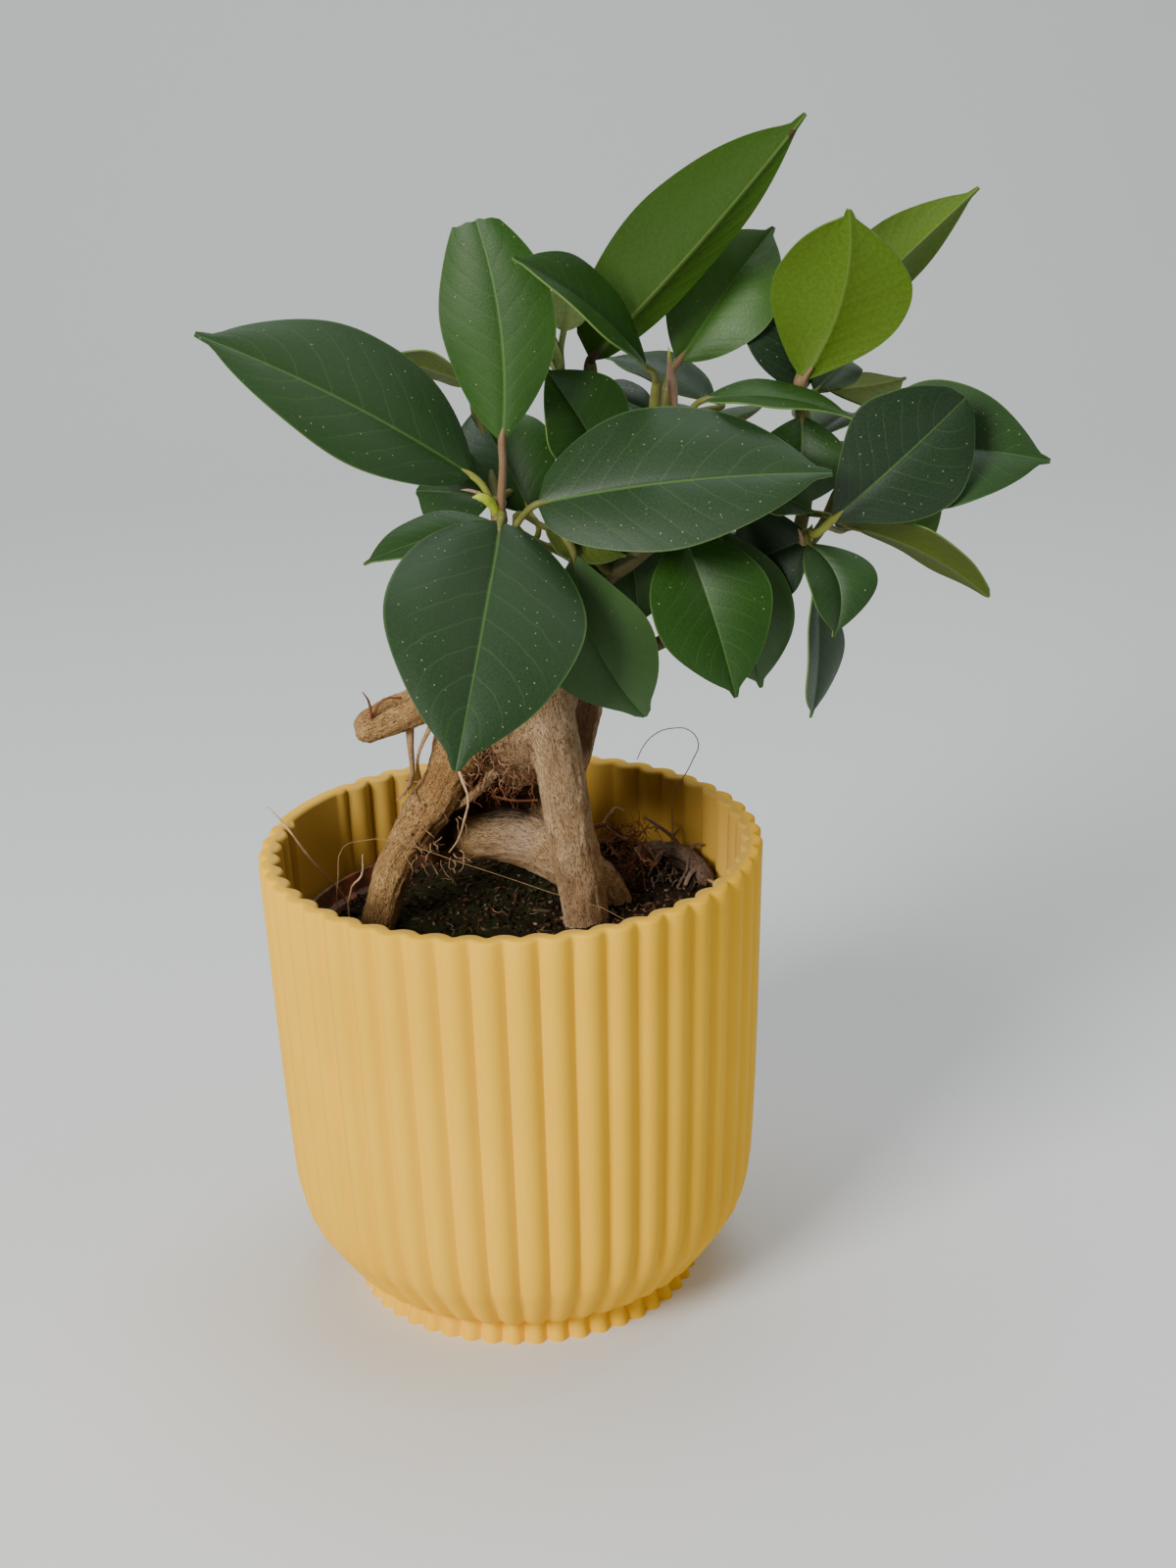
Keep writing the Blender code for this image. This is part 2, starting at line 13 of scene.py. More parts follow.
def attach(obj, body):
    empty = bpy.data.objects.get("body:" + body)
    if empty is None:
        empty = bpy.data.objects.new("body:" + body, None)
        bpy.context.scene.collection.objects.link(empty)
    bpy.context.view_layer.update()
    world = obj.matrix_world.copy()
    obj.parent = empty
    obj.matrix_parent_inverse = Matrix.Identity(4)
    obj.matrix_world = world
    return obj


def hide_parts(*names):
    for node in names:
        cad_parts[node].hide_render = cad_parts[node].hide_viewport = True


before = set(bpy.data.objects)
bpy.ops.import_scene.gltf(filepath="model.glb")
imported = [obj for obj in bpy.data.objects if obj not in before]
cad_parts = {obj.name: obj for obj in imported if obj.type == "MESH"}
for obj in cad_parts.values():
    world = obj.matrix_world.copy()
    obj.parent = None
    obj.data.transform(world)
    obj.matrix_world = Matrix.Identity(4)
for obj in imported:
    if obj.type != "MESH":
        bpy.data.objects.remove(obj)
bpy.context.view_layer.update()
mm = 0.001


# Small helpers for selecting, applying and joining

def selectOnly(*pieces):
    bpy.ops.object.select_all(action="DESELECT")
    for piece in pieces:
        piece.select_set(True)
    bpy.context.view_layer.objects.active = pieces[0]


def applyAll(piece):
    selectOnly(piece)
    for modifier in list(piece.modifiers):
        bpy.ops.object.modifier_apply(modifier=modifier.name)


def joinAs(name, pieces):
    selectOnly(*pieces)
    if len(pieces) > 1:
        bpy.ops.object.join()
    joined = bpy.context.object
    joined.name = name
    joined.data.name = name
    return joined


def smoothShade(piece, angle=40):
    selectOnly(piece)
    bpy.ops.object.shade_smooth_by_angle(angle=math.radians(angle))


def usePaint(piece, *materials):
    piece.data.materials.clear()
    for material in materials:
        piece.data.materials.append(material)


def storeNumbers(piece, name, numbers):
    layer = piece.data.attributes.new(name, "FLOAT", "POINT")
    layer.data.foreach_set("value", numbers)


def storeColor(piece, name, colors):
    layer = piece.data.attributes.new(name, "FLOAT_COLOR", "POINT")
    layer.data.foreach_set("color", [number for color in colors for number in (*color, 1)])


def blend(first, second, share):
    return tuple(a + (b - a) * share for a, b in zip(first, second))


def finishPiece(piece, slot, *nodes):
    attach(piece, "root")
    if nodes:
        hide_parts(*nodes)
    print("finished", piece.name, len(piece.data.vertices), "points")


# Helpers for materials: each adds its node to the tree of the node or socket that it is given

def newMaterial(name, color, roughness, **extra):
    material = bpy.data.materials.new(name)
    material.use_nodes = True
    shader = material.node_tree.nodes["Principled BSDF"]
    shader.inputs["Base Color"].default_value = (*color, 1)
    shader.inputs["Roughness"].default_value = roughness
    for socket, value in extra.items():
        shader.inputs[socket.replace("_", " ")].default_value = value
    return material, shader


def isSocket(value):
    return isinstance(value, bpy.types.NodeSocket)


def addNode(beside, kind, inputs=None, **settings):
    tree = beside.id_data
    node = tree.nodes.new("ShaderNode" + kind)
    for name, value in settings.items():
        setattr(node, name, value)
    for socket, value in (inputs or {}).items():
        if isSocket(value):
            tree.links.new(value, node.inputs[socket])
        else:
            node.inputs[socket].default_value = value
    return node


def feed(shader, socket, value):
    shader.id_data.links.new(value, shader.inputs[socket])


def objectPlace(shader):
    return addNode(shader, "TexCoord").outputs["Object"]


def stored(shader, name, output="Fac"):
    return addNode(shader, "Attribute", attribute_name=name).outputs[output]


def mathOf(operation, a, b=0.0):
    return addNode(a, "Math", {0: a, 1: b}, operation=operation).outputs[0]


def times(a, b):
    return mathOf("MULTIPLY", a, b)


def plus(a, b):
    return mathOf("ADD", a, b)


def minus(a, b):
    return mathOf("SUBTRACT", a, b)


def vectorOf(operation, a, b, output="Vector"):
    return addNode(a, "VectorMath", {0: a, 1: b}, operation=operation).outputs[output]


def stepOf(value, low, high):
    inputs = {"Value": value, "From Min": low, "From Max": high}
    return addNode(value, "MapRange", inputs, interpolation_type="SMOOTHSTEP").outputs[0]


def spreadOf(value, toLow, toHigh, low=0.0, high=1.0):
    inputs = {"Value": value, "From Min": low, "From Max": high, "To Min": toLow, "To Max": toHigh}
    return addNode(value, "MapRange", inputs).outputs[0]


def noiseOf(place, scale, detail=3, roughness=0.55):
    inputs = {"Vector": place, "Scale": scale, "Detail": detail, "Roughness": roughness}
    return addNode(place, "TexNoise", inputs).outputs["Fac"]


def mixColors(share, first, second, mode="MIX"):
    colors = [color if isSocket(color) else (*color, 1) for color in (first, second)]
    beside = share if isSocket(share) else first
    inputs = {0: share, 6: colors[0], 7: colors[1]}
    return addNode(beside, "Mix", inputs, data_type="RGBA", blend_type=mode).outputs[2]


def layered(color, layers):
    # lays each layer's colour over what is there, by its share times its strength
    for share, strength, layerColor in layers:
        color = mixColors(times(share, strength), color, layerColor)
    return color


def rampOf(value, stops):
    node = addNode(value, "ValToRGB", {"Fac": value})
    elements = node.color_ramp.elements
    while len(elements) < len(stops):
        elements.new(0.5)
    for element, (position, color) in zip(elements, stops):
        element.position = position
        element.color = (*color, 1)
    return node.outputs["Color"]


def bumpFrom(shader, height, strength, distance):
    inputs = {"Height": height, "Strength": strength, "Distance": distance * mm}
    feed(shader, "Normal", addNode(shader, "Bump", inputs).outputs[0])


def distanceTo(place, centre):
    centre = tuple(number * mm for number in centre)
    return vectorOf("DISTANCE", place, centre, "Value")


def nearPlace(place, centre, reach, fade):
    # 1 near a place of the object, given in millimetres, and 0 past its reach, with a ragged edge
    ragged = plus(distanceTo(place, centre), times(noiseOf(place, 220, 3, 0.6), fade * mm))
    return stepOf(ragged, (reach + fade) * mm, reach * mm)


# Camera, lights, floor and backdrop

cameraView = {
    "place": (0, -666.9, 402.6), "turnRight": 1.891, "lookDown": 20.942, "roll": -1.856, "lens": 59.375,
    "sensor": 36,
}

lights = {
    "windowLeft": {"place": (-1050, -1250, 1050), "size": 700, "power": 46, "color": (1.0, 0.975, 0.93)},
    "skyAbove": {"place": (200, 380, 1650), "size": 900, "power": 14, "color": (0.93, 0.97, 1.0)},
    "roomRight": {"place": (1250, -370, 1400), "size": 1000, "power": 5, "color": (1.0, 0.97, 0.93)},
}
lightTarget = (20, 0, 170)
room = {
    "floor": (0.71, 0.73, 0.735), "world": (0.80, 0.83, 0.86), "worldStrength": 0.19,
    "size": 6, "middle": (0, -1.2, 0), "wallHeight": 3, "sweep": 0.9, "sweepSteps": 24,
}


def addCamera():
    bpy.ops.object.camera_add()
    camera = bpy.context.object
    camera.matrix_world = (
        Matrix.Translation(Vector(cameraView["place"]) * mm)
        @ Matrix.Rotation(math.radians(-cameraView["turnRight"]), 4, "Z")
        @ Matrix.Rotation(math.radians(90 - cameraView["lookDown"]), 4, "X")
        @ Matrix.Rotation(math.radians(cameraView["roll"]), 4, "Z"))
    camera.data.lens = cameraView["lens"]
    camera.data.sensor_width = cameraView["sensor"]
    bpy.context.scene.camera = camera


def addLights():
    for name, light in lights.items():
        bpy.ops.object.light_add(type="AREA", location=Vector(light["place"]) * mm)
        lamp = bpy.context.object
        lamp.name = name
        lamp.data.size = light["size"] * mm
        lamp.data.energy = light["power"]
        lamp.data.color = light["color"]
        aim = Vector(lightTarget) - Vector(light["place"])
        lamp.rotation_euler = aim.to_track_quat("-Z", "Y").to_euler()
    world = bpy.data.worlds.new("softRoom")
    world.use_nodes = True
    background = world.node_tree.nodes["Background"]
    background.inputs["Color"].default_value = (*room["world"], 1)
    background.inputs["Strength"].default_value = room["worldStrength"]
    bpy.context.scene.world = world


def addStage():
    bpy.ops.object.select_all(action="DESELECT")
    bpy.ops.mesh.primitive_plane_add(size=room["size"], location=room["middle"])
    stage = bpy.context.object
    stage.name = "floorAndBackdrop"
    bpy.ops.object.mode_set(mode="EDIT")
    bpy.ops.mesh.select_all(action="DESELECT")
    bpy.ops.object.mode_set(mode="OBJECT")
    for edge in stage.data.edges:
        edge.select = all(stage.data.vertices[i].co.y > 0 for i in edge.vertices)
    bpy.ops.object.mode_set(mode="EDIT")
    bpy.ops.mesh.select_mode(type="EDGE")
    bpy.ops.mesh.extrude_region_move(TRANSFORM_OT_translate={"value": (0, 0, room["wallHeight"])})
    bpy.ops.object.mode_set(mode="OBJECT")
    sweep = stage.modifiers.new("sweep", "BEVEL")
    sweep.width = room["sweep"]
    sweep.segments = room["sweepSteps"]
    applyAll(stage)
    smoothShade(stage, 60)
    usePaint(stage, newMaterial("paleFloor", room["floor"], 0.7)[0])


addCamera()
addLights()
addStage()
print("camera, lights and stage")


# Pieces drawn up ring by ring from a flat round bottom

def startRings(name, sides, radius, height):
    bpy.ops.object.select_all(action="DESELECT")
    bpy.ops.mesh.primitive_circle_add(vertices=sides, radius=radius * mm, fill_type="NGON",
                                      location=(0, 0, height * mm))
    bpy.context.object.name = name
    bpy.ops.object.mode_set(mode="EDIT")
    bpy.ops.mesh.select_mode(type="EDGE")
    bpy.ops.mesh.select_all(action="SELECT")
    return bpy.context.object


def addRing(share, height, rise):
    bpy.ops.mesh.extrude_edges_move(TRANSFORM_OT_translate={"value": (0, 0, rise * mm)})
    bpy.ops.transform.resize(value=(share, share, 1), center_override=(0, 0, height * mm))


def closeRings(piece):
    bpy.ops.mesh.edge_face_add()
    bpy.ops.mesh.select_all(action="SELECT")
    bpy.ops.mesh.normals_make_consistent(inside=False)
    bpy.ops.object.mode_set(mode="OBJECT")
    selectOnly(piece)
    bpy.ops.object.transform_apply(location=True, rotation=True, scale=True)


# Cover pot: a ring of points is extruded up the outside, over the rim and down the inside, each ring fluted

pot = {
    "height": 131.8,
    "crest": [(0, 49.7), (5, 48.3), (9, 53.1), (16, 58.3), (25, 63.7), (37, 66.1), (130.2, 70)],
    "outsideLevels": [1, 2.5, 4, 5, 6, 7, 8, 9, 10.5, 12, 14, 16, 18.5, 21, 23, 25, 28, 31, 34, 37, 42, 60,
                      80, 100, 120],
    "insideLevels": [118, 90, 60, 37], "floor": 4, "floorRadius": 50.3, "floorRound": (1.5, 3),
    "flutes": 48, "pointsPerFlute": 12, "firstGroove": -92.5, "grooveDepth": 1.9, "softness": 0.14,
    "ribPower": 2.2, "wallAtLobe": 6.3, "wallAtCusp": 4.3, "rimRound": 1.1, "rimSteps": 5,
    "plainFrom": 140, "plainTo": 159, "plainFade": 4, "dullFrom": 2.6,
}


def curveThrough(points, place):
    # a smooth height-to-radius curve that never swings past its points
    slopes = [(b[1] - a[1]) / (b[0] - a[0]) for a, b in zip(points, points[1:])]
    tangents = [slopes[0]]
    for left, right in zip(slopes, slopes[1:]):
        tangents.append(0 if left * right <= 0 else 2 * left * right / (left + right))
    tangents.append(slopes[-1])
    for i, (low, high) in enumerate(zip(points, points[1:])):
        if place <= high[0]:
            break
    span = high[0] - low[0]
    t = (place - low[0]) / span
    startPart = (2 * t ** 3 - 3 * t ** 2 + 1) * low[1] + (t ** 3 - 2 * t ** 2 + t) * span * tangents[i]
    endPart = (3 * t ** 2 - 2 * t ** 3) * high[1] + (t ** 3 - t ** 2) * span * tangents[i + 1]
    return startPart + endPart


def plainShare(angle):
    turn = angle % 360
    outside = max(pot["plainFrom"] - turn, turn - pot["plainTo"], 0)
    return max(0, 1 - outside / pot["plainFade"])


def softened(share):
    # 0 to 1, with a round start in place of a sharp one
    soft = pot["softness"]
    return (math.sqrt(share ** 2 + soft ** 2) - soft) / (math.sqrt(1 + soft ** 2) - soft)


def wallInward(angle, inner):
    # how far in from the crests the wall lies: inner is 0 outside, 1 inside and between on the rim
    turn = (angle - pot["firstGroove"]) / 360 * pot["flutes"]
    fromGroove = abs((turn + 0.5) % 1 - 0.5) * 2
    fluted = 1 - plainShare(angle)
    groove = pot["grooveDepth"] * (1 - softened(fromGroove)) ** pot["ribPower"] * fluted
    lobe = 1 - (1 - softened(1 - fromGroove)) ** pot["ribPower"]
    back = pot["wallAtCusp"] + (pot["wallAtLobe"] - pot["wallAtCusp"]) * lobe * fluted
    return groove + (back - groove) * inner


def placeRing(bm, radius, height, inner=0, offset=0):
    for vertex in bm.verts:
        if vertex.select:
            angle = math.atan2(vertex.co.y, vertex.co.x)
            reach = radius - wallInward(math.degrees(angle), inner) - offset
            vertex.co = Vector((reach * math.cos(angle), reach * math.sin(angle), height)) * mm


def potRings():
    top = pot["height"]
    edge = pot["rimRound"]
    topRadius = pot["crest"][-1][1]
    rings = [(curveThrough(pot["crest"], z), z, 0, 0) for z in pot["outsideLevels"]]
    steps = [math.pi / 2 * i / pot["rimSteps"] for i in range(pot["rimSteps"] + 1)]
    rings += [(topRadius, top - edge + edge * math.sin(t), 0, edge * (1 - math.cos(t))) for t in steps]
    rings += [(topRadius, top, share, edge * (1 - 2 * share)) for share in (0.33, 0.67)]
    rings += [(topRadius, top - edge + edge * math.cos(t), 1, -edge * (1 - math.sin(t))) for t in steps]
    rings += [(curveThrough(pot["crest"], z), z, 1, 0) for z in pot["insideLevels"]]
    wider, higher = pot["floorRound"]
    rings += [(pot["floorRadius"] + wider, pot["floor"] + higher, 1, 0)]
    rings += [(pot["floorRadius"], pot["floor"], 1, 0)]
    return rings


def makeCoverPot():
    bpy.ops.object.select_all(action="DESELECT")
    points = pot["flutes"] * pot["pointsPerFlute"]
    bpy.ops.mesh.primitive_circle_add(vertices=points, radius=pot["crest"][0][1] * mm)
    cover = bpy.context.object
    cover.name = "coverPot"
    turn = math.radians(pot["firstGroove"] - 90)
    cover.data.transform(Matrix.Rotation(turn, 4, "Z"))
    bpy.ops.object.mode_set(mode="EDIT")
    bpy.ops.mesh.select_all(action="SELECT")
    bm = bmesh.from_edit_mesh(cover.data)
    placeRing(bm, pot["crest"][0][1], 0)
    bpy.ops.mesh.edge_face_add()
    bpy.ops.mesh.select_mode(type="EDGE")
    for radius, height, inner, offset in potRings():
        bpy.ops.mesh.extrude_edges_move()
        bm = bmesh.from_edit_mesh(cover.data)
        placeRing(bm, radius, height, inner, offset)
    closeRings(cover)
    smoothShade(cover, 50)
    usePaint(cover, yellowPlastic())
    storeNumbers(cover, "inside", [insideShare(vertex.co / mm) for vertex in cover.data.vertices])
    return cover


def insideShare(point):
    # 0 on the outside and 1 on the inner wall, which gets a darker, duller colour as painted shade
    outside = curveThrough(pot["crest"], max(0, min(point.z, pot["crest"][-1][0])))
    return max(0, min(1, outside - math.hypot(point.x, point.y) - pot["dullFrom"]))


def yellowPlastic():
    material, shader = newMaterial("yellowPlastic", (0.86, 0.485, 0.026), 0.6, Specular_IOR_Level=0.12)
    place = objectPlace(shader)
    cloudy = stepOf(noiseOf(place, 18, 2), 0.3, 0.7)
    color = mixColors(cloudy, (0.89, 0.505, 0.028), (0.84, 0.47, 0.023))
    specks = addNode(shader, "TexVoronoi", {"Vector": place, "Scale": 55.0}).outputs["Distance"]
    color = mixColors(stepOf(specks, 0.022, 0.012), color, (0.16, 0.09, 0.03))
    # painted shade: the inner wall is darkened and dulled, more in some patches
    paintedInnerShade = times(stored(shader, "inside"), spreadOf(noiseOf(place, 45, 4, 0.6), 0.55, 1.0))
    feed(shader, "Base Color", mixColors(paintedInnerShade, color, (0.56, 0.34, 0.075)))
    grain = noiseOf(place, 2600, 2, 0.6)
    feed(shader, "Roughness", spreadOf(grain, 0.54, 0.68))
    bumpFrom(shader, grain, 0.35, 0.05)
    return material


coverPot = makeCoverPot()
finishPiece(coverPot, "yellow_plastic", "cover_pot")


# Nursery pot: turned from rings, with a rolled lip and drain holes

nursery = {
    "sides": 96, "wall": 1.2, "bottom": 4.3, "bottomRadius": 42.5, "top": 107.5, "topRadius": 59,
    "lipRadius": 61.4, "lipHeight": 7, "edgeRound": 0.35,
    "drainHoles": 5, "drainRadius": 4, "drainSides": 24, "drainDepth": 5, "drainCircle": 28,
}


def makeNurseryPot():
    wall = nursery["wall"]
    lipBottom = nursery["top"] - nursery["lipHeight"]
    rings = [
        (nursery["topRadius"], lipBottom),
        (nursery["lipRadius"], lipBottom), (nursery["lipRadius"], nursery["top"]),
        (nursery["lipRadius"] - wall, nursery["top"]), (nursery["lipRadius"] - wall, lipBottom + wall),
        (nursery["topRadius"] - wall, lipBottom + wall),
        (nursery["bottomRadius"] - wall, nursery["bottom"] + wall)]
    radius, height = nursery["bottomRadius"], nursery["bottom"]
    inner = startRings("nurseryPot", nursery["sides"], radius, height)
    for nextRadius, nextHeight in rings:
        addRing(nextRadius / radius, nextHeight, nextHeight - height)
        radius, height = nextRadius, nextHeight
    closeRings(inner)
    for i in range(nursery["drainHoles"]):
        angle = 2 * math.pi * i / nursery["drainHoles"]
        place = Vector((math.cos(angle), math.sin(angle), 0)) * nursery["drainCircle"] * mm
        place.z = nursery["bottom"] * mm
        bpy.ops.mesh.primitive_cylinder_add(
            vertices=nursery["drainSides"], radius=nursery["drainRadius"] * mm,
            depth=nursery["drainDepth"] * mm, location=place)
        cutter = bpy.context.object
        hole = inner.modifiers.new("drain", "BOOLEAN")
        hole.object = cutter
        hole.operation = "DIFFERENCE"
        applyAll(inner)
        bpy.data.objects.remove(cutter)
    edges = inner.modifiers.new("edges", "BEVEL")
    edges.width = nursery["edgeRound"] * mm
    edges.segments = 3
    edges.limit_method = "ANGLE"
    edges.angle_limit = math.radians(50)
    applyAll(inner)
    smoothShade(inner)
    usePaint(inner, terracottaPlastic())
    return inner


def terracottaPlastic():
    material, shader = newMaterial("terracottaPlastic", (0.34, 0.09, 0.035), 0.5)
    place = objectPlace(shader)
    dirt = stepOf(noiseOf(place, 160, 4, 0.65), 0.38, 0.56)
    feed(shader, "Base Color", mixColors(dirt, (0.34, 0.095, 0.04), (0.11, 0.05, 0.028)))
    bumpFrom(shader, noiseOf(place, 900), 0.3, 0.08)
    return material


nurseryPot = makeNurseryPot()
finishPiece(nurseryPot, "terracotta_plastic", "nursery_pot")


# Soil: a round bed with a lumpy top, and crumbs and bark chips lying on it

soil = {
    "level": 104, "riseX": 0.075, "riseY": 0.03, "sides": 220, "rings": 70, "topRadius": 57.2,
    "bottomRadius": 40.8, "bottom": 5.8, "lumpScale": 0.2, "lumpHeight": 1.2, "fineScale": 0.8,
    "fineHeight": 0.8, "dipPlace": (-37, 43), "dipReach": 9, "dipDepth": 2.5, "edgeReach": 3, "edgeDrop": 1.5,
    "tint": 0.25, "seed": 11,
}
crumbShape = {
    "waves": 900, "lumpiness": 0.55, "flatness": 0.8, "lean": 0.6, "stickOut": (0.1, 0.6), "overLip": 0.3,
}
crumbKinds = {
    "crumbs": {"count": 3400, "sizes": (0.22, 0.75), "stretch": 1.6, "tones": (0.05, 0.62), "reach": 57},
    "paleCrumbs": {"count": 300, "sizes": (0.2, 0.6), "stretch": 1.6, "tones": (0.66, 0.95), "reach": 57},
    "lumps": {"count": 60, "sizes": (0.8, 1.7), "stretch": 1.5, "tones": (0.1, 0.45), "reach": 55},
    "barkChips": {"count": 150, "sizes": (0.35, 0.8), "stretch": 5, "tones": (0.4, 0.85), "reach": 56},
    "spilled": {"count": 320, "sizes": (0.4, 1.9), "stretch": 1.8, "tones": (0.05, 0.65), "reach": 63,
                "nearest": 53, "angles": (-35, 60)},
}


def soilHeight(x, y):
    # the tilt and the slow waves of the part's soil
    waves = 0.8 * math.sin(0.35 * x + 1) * math.cos(0.3 * y) + 0.5 * math.sin(0.21 * y + 0.1 * x)
    return soil["level"] + soil["riseX"] * x + soil["riseY"] * y + waves


def soilTop(x, y):
    lump = noise.voronoi(Vector((x, y, 3)) * soil["lumpScale"])[0][0]
    fine = noise.noise(Vector((x, y, 9)) * soil["fineScale"])
    away = math.hypot(x - soil["dipPlace"][0], y - soil["dipPlace"][1]) / soil["dipReach"]
    dip = soil["dipDepth"] * math.exp(-away ** 2)
    return soilHeight(x, y) + soil["lumpHeight"] * (0.6 - lump) + soil["fineHeight"] * fine - dip


def makeSoilBed():
    bed = startRings("soilBed", soil["sides"], soil["bottomRadius"], soil["bottom"])
    addRing(soil["topRadius"] / soil["bottomRadius"], soil["level"], soil["level"] - soil["bottom"])
    for ring in range(soil["rings"], 1, -1):
        addRing((ring - 1) / ring, soil["level"], 0)
    closeRings(bed)
    for vertex in bed.data.vertices:
        if vertex.co.z > (soil["level"] - 1) * mm:
            x, y = vertex.co.x / mm, vertex.co.y / mm
            fromEdge = min(1, (soil["topRadius"] - math.hypot(x, y)) / soil["edgeReach"])
            vertex.co.z = (soilTop(x, y) - soil["edgeDrop"] * (1 - max(0, fromEdge))) * mm
    storeNumbers(bed, "tint", [soil["tint"]] * len(bed.data.vertices))
    return bed


def crumbSpot(rng, kind):
    if "angles" in kind:
        angle = math.radians(rng.uniform(*kind["angles"]))
        distance = rng.uniform(kind["nearest"], kind["reach"])
    else:
        angle = rng.uniform(0, 2 * math.pi)
        distance = kind["reach"] * math.sqrt(rng.random())
    return distance * math.cos(angle), distance * math.sin(angle)


def crumbRest(x, y):
    # the lip carries what has spilled past the soil's edge
    if math.hypot(x, y) > soil["topRadius"]:
        return nursery["top"] + crumbShape["overLip"]
    return soilTop(x, y)


def makeCrumbs():
    rng = random.Random(soil["seed"])
    bpy.ops.object.select_all(action="DESELECT")
    bpy.ops.mesh.primitive_ico_sphere_add(subdivisions=1, radius=mm)
    pattern = bpy.context.object
    lean = crumbShape["lean"]
    crumbs = []
    for kind in crumbKinds.values():
        for _ in range(kind["count"]):
            mesh = pattern.data.copy()
            size = rng.uniform(*kind["sizes"])
            shift = Vector((rng.random(), rng.random(), rng.random())) * 50
            for vertex in mesh.vertices:
                lump = noise.noise(vertex.co * crumbShape["waves"] + shift)
                vertex.co *= size * (1 + crumbShape["lumpiness"] * lump)
            stretch = rng.uniform(1, kind["stretch"])
            mesh.transform(Matrix.Diagonal((stretch, 1, crumbShape["flatness"], 1)))
            turn = Matrix.Rotation(rng.uniform(0, 2 * math.pi), 4, "Z")
            angle = rng.uniform(-lean, lean)
            tilt = Matrix.Rotation(angle, 4, (rng.uniform(-1, 1), rng.uniform(-1, 1), 0.1))
            x, y = crumbSpot(rng, kind)
            height = crumbRest(x, y) + size * rng.uniform(*crumbShape["stickOut"])
            mesh.transform(Matrix.Translation(Vector((x, y, height)) * mm) @ turn @ tilt)
            crumb = bpy.data.objects.new("crumb", mesh)
            bpy.context.collection.objects.link(crumb)
            storeNumbers(crumb, "tint", [rng.uniform(*kind["tones"])] * len(mesh.vertices))
            crumbs.append(crumb)
    bpy.data.objects.remove(pattern)
    return crumbs


def crumblySoil():
    material, shader = newMaterial("crumblySoil", (0.03, 0.02, 0.012), 0.95, Specular_IOR_Level=0.12)
    place = objectPlace(shader)
    grain = noiseOf(place, 700, 4, 0.7)
    tone = plus(stored(shader, "tint"), times(minus(grain, 0.5), 0.5))
    color = rampOf(tone, [
        (0.0, (0.004, 0.003, 0.0015)), (0.3, (0.018, 0.011, 0.005)), (0.55, (0.062, 0.034, 0.016)),
        (0.75, (0.13, 0.08, 0.045)), (1.0, (0.36, 0.26, 0.17))])
    patch = plus(distanceTo(place, (-12, 22, 104)), times(noiseOf(place, 90), -0.02))
    algae = times(stepOf(patch, 0.026, 0.008), stepOf(noiseOf(place, 240), 0.42, 0.62))
    feed(shader, "Base Color", layered(color, [(algae, 0.7, (0.014, 0.021, 0.005))]))
    bumpFrom(shader, grain, 0.8, 0.35)
    return material


soilBed = joinAs("soilBed", [makeSoilBed()] + makeCrumbs())
smoothShade(soilBed, 60)
usePaint(soilBed, crumblySoil())
finishPiece(soilBed, "dark_soil", "soil")


# Tubes along routes of (x, y, z, radius): roots, stems, petioles and hairs all start as one

def addRoute(curve, route):
    spline = curve.splines.new("BEZIER")
    spline.bezier_points.add(len(route) - 1)
    for point, (x, y, z, radius) in zip(spline.bezier_points, route):
        point.co = Vector((x, y, z)) * mm
        point.radius = radius
        point.handle_left_type = "AUTO"
        point.handle_right_type = "AUTO"


def makeTubes(name, routes, sides=12, steps=6):
    bpy.ops.object.select_all(action="DESELECT")
    bpy.ops.curve.primitive_bezier_curve_add(radius=mm)
    tube = bpy.context.object
    tube.name = name
    tube.data.splines.clear()
    tube.data.bevel_depth = mm
    tube.data.bevel_resolution = (sides - 4) // 2
    tube.data.resolution_u = steps
    tube.data.use_fill_caps = True
    for route in routes:
        addRoute(tube.data, route)
    bpy.ops.object.convert(target="MESH")
    return bpy.context.object


# Swollen root: its routes are those of the part, joined in one skin, then given bark along each route

rootRoutes = {
    "rightLeg": [(9, 2, 186, 8), (12.3, -2, 168, 6.9), (14.8, -4, 150, 6.6), (16.8, -4, 134, 6.8),
                 (19.2, -2, 118, 6.7), (20.4, 2, 103, 6.5), (21.5, 4, 84, 5.6)],
    "leftLeg": [(-2, 4, 178, 9), (-10, 2, 164, 8.2), (-17.5, 3, 149, 6.4), (-23, 5, 139.5, 5.8),
                (-31, 7, 126.8, 5.2), (-38, 10.5, 106, 4.9), (-43, 14, 88, 4.2)],
    "cutStub": [(-40.3, -6, 167.3, 2.6), (-37.8, -6, 168.4, 4), (-30, -4, 171.2, 4.8), (-20, -1, 174, 5.8),
                (-8, 3, 177, 7)],
    "lowRoot": [(-15.5, 18, 125.5, 3.8), (-13.5, 18, 126, 6.2), (-9, 18, 126.3, 7.6), (0, 18, 126, 8.3),
                (8, 17, 123.5, 8.3), (18, 15, 117, 7.4), (27, 13, 110, 5.2), (33, 12, 98, 3.6)],
    "body": [(3, 10, 148, 9), (4, 9, 158, 14), (5, 8, 172, 15.5), (7, 8, 184, 13.5), (9, 6, 199, 8)],
    "crotch": [(-17, 4, 152, 5), (-10, 5, 156, 7), (-2, 6, 157, 8), (6, 7, 156, 8)],
    "cavityBack": [(-6, 17, 150, 7), (-5, 24, 140, 7.5), (-3, 26, 127, 7)],
    "cavityLeft": [(-9, 13, 151, 6), (-15, 21, 141, 7), (-19, 25, 131, 7), (-18.5, 25, 118, 6.5)],
    "cavityRight": [(7, 14, 152, 6.5), (9, 23, 140, 7), (10, 25, 127, 6)],
    "cutBack": [(12, 17, 186, 10), (16, 17, 170, 12.5), (15, 15, 153, 9), (12, 14, 140, 6)],
}
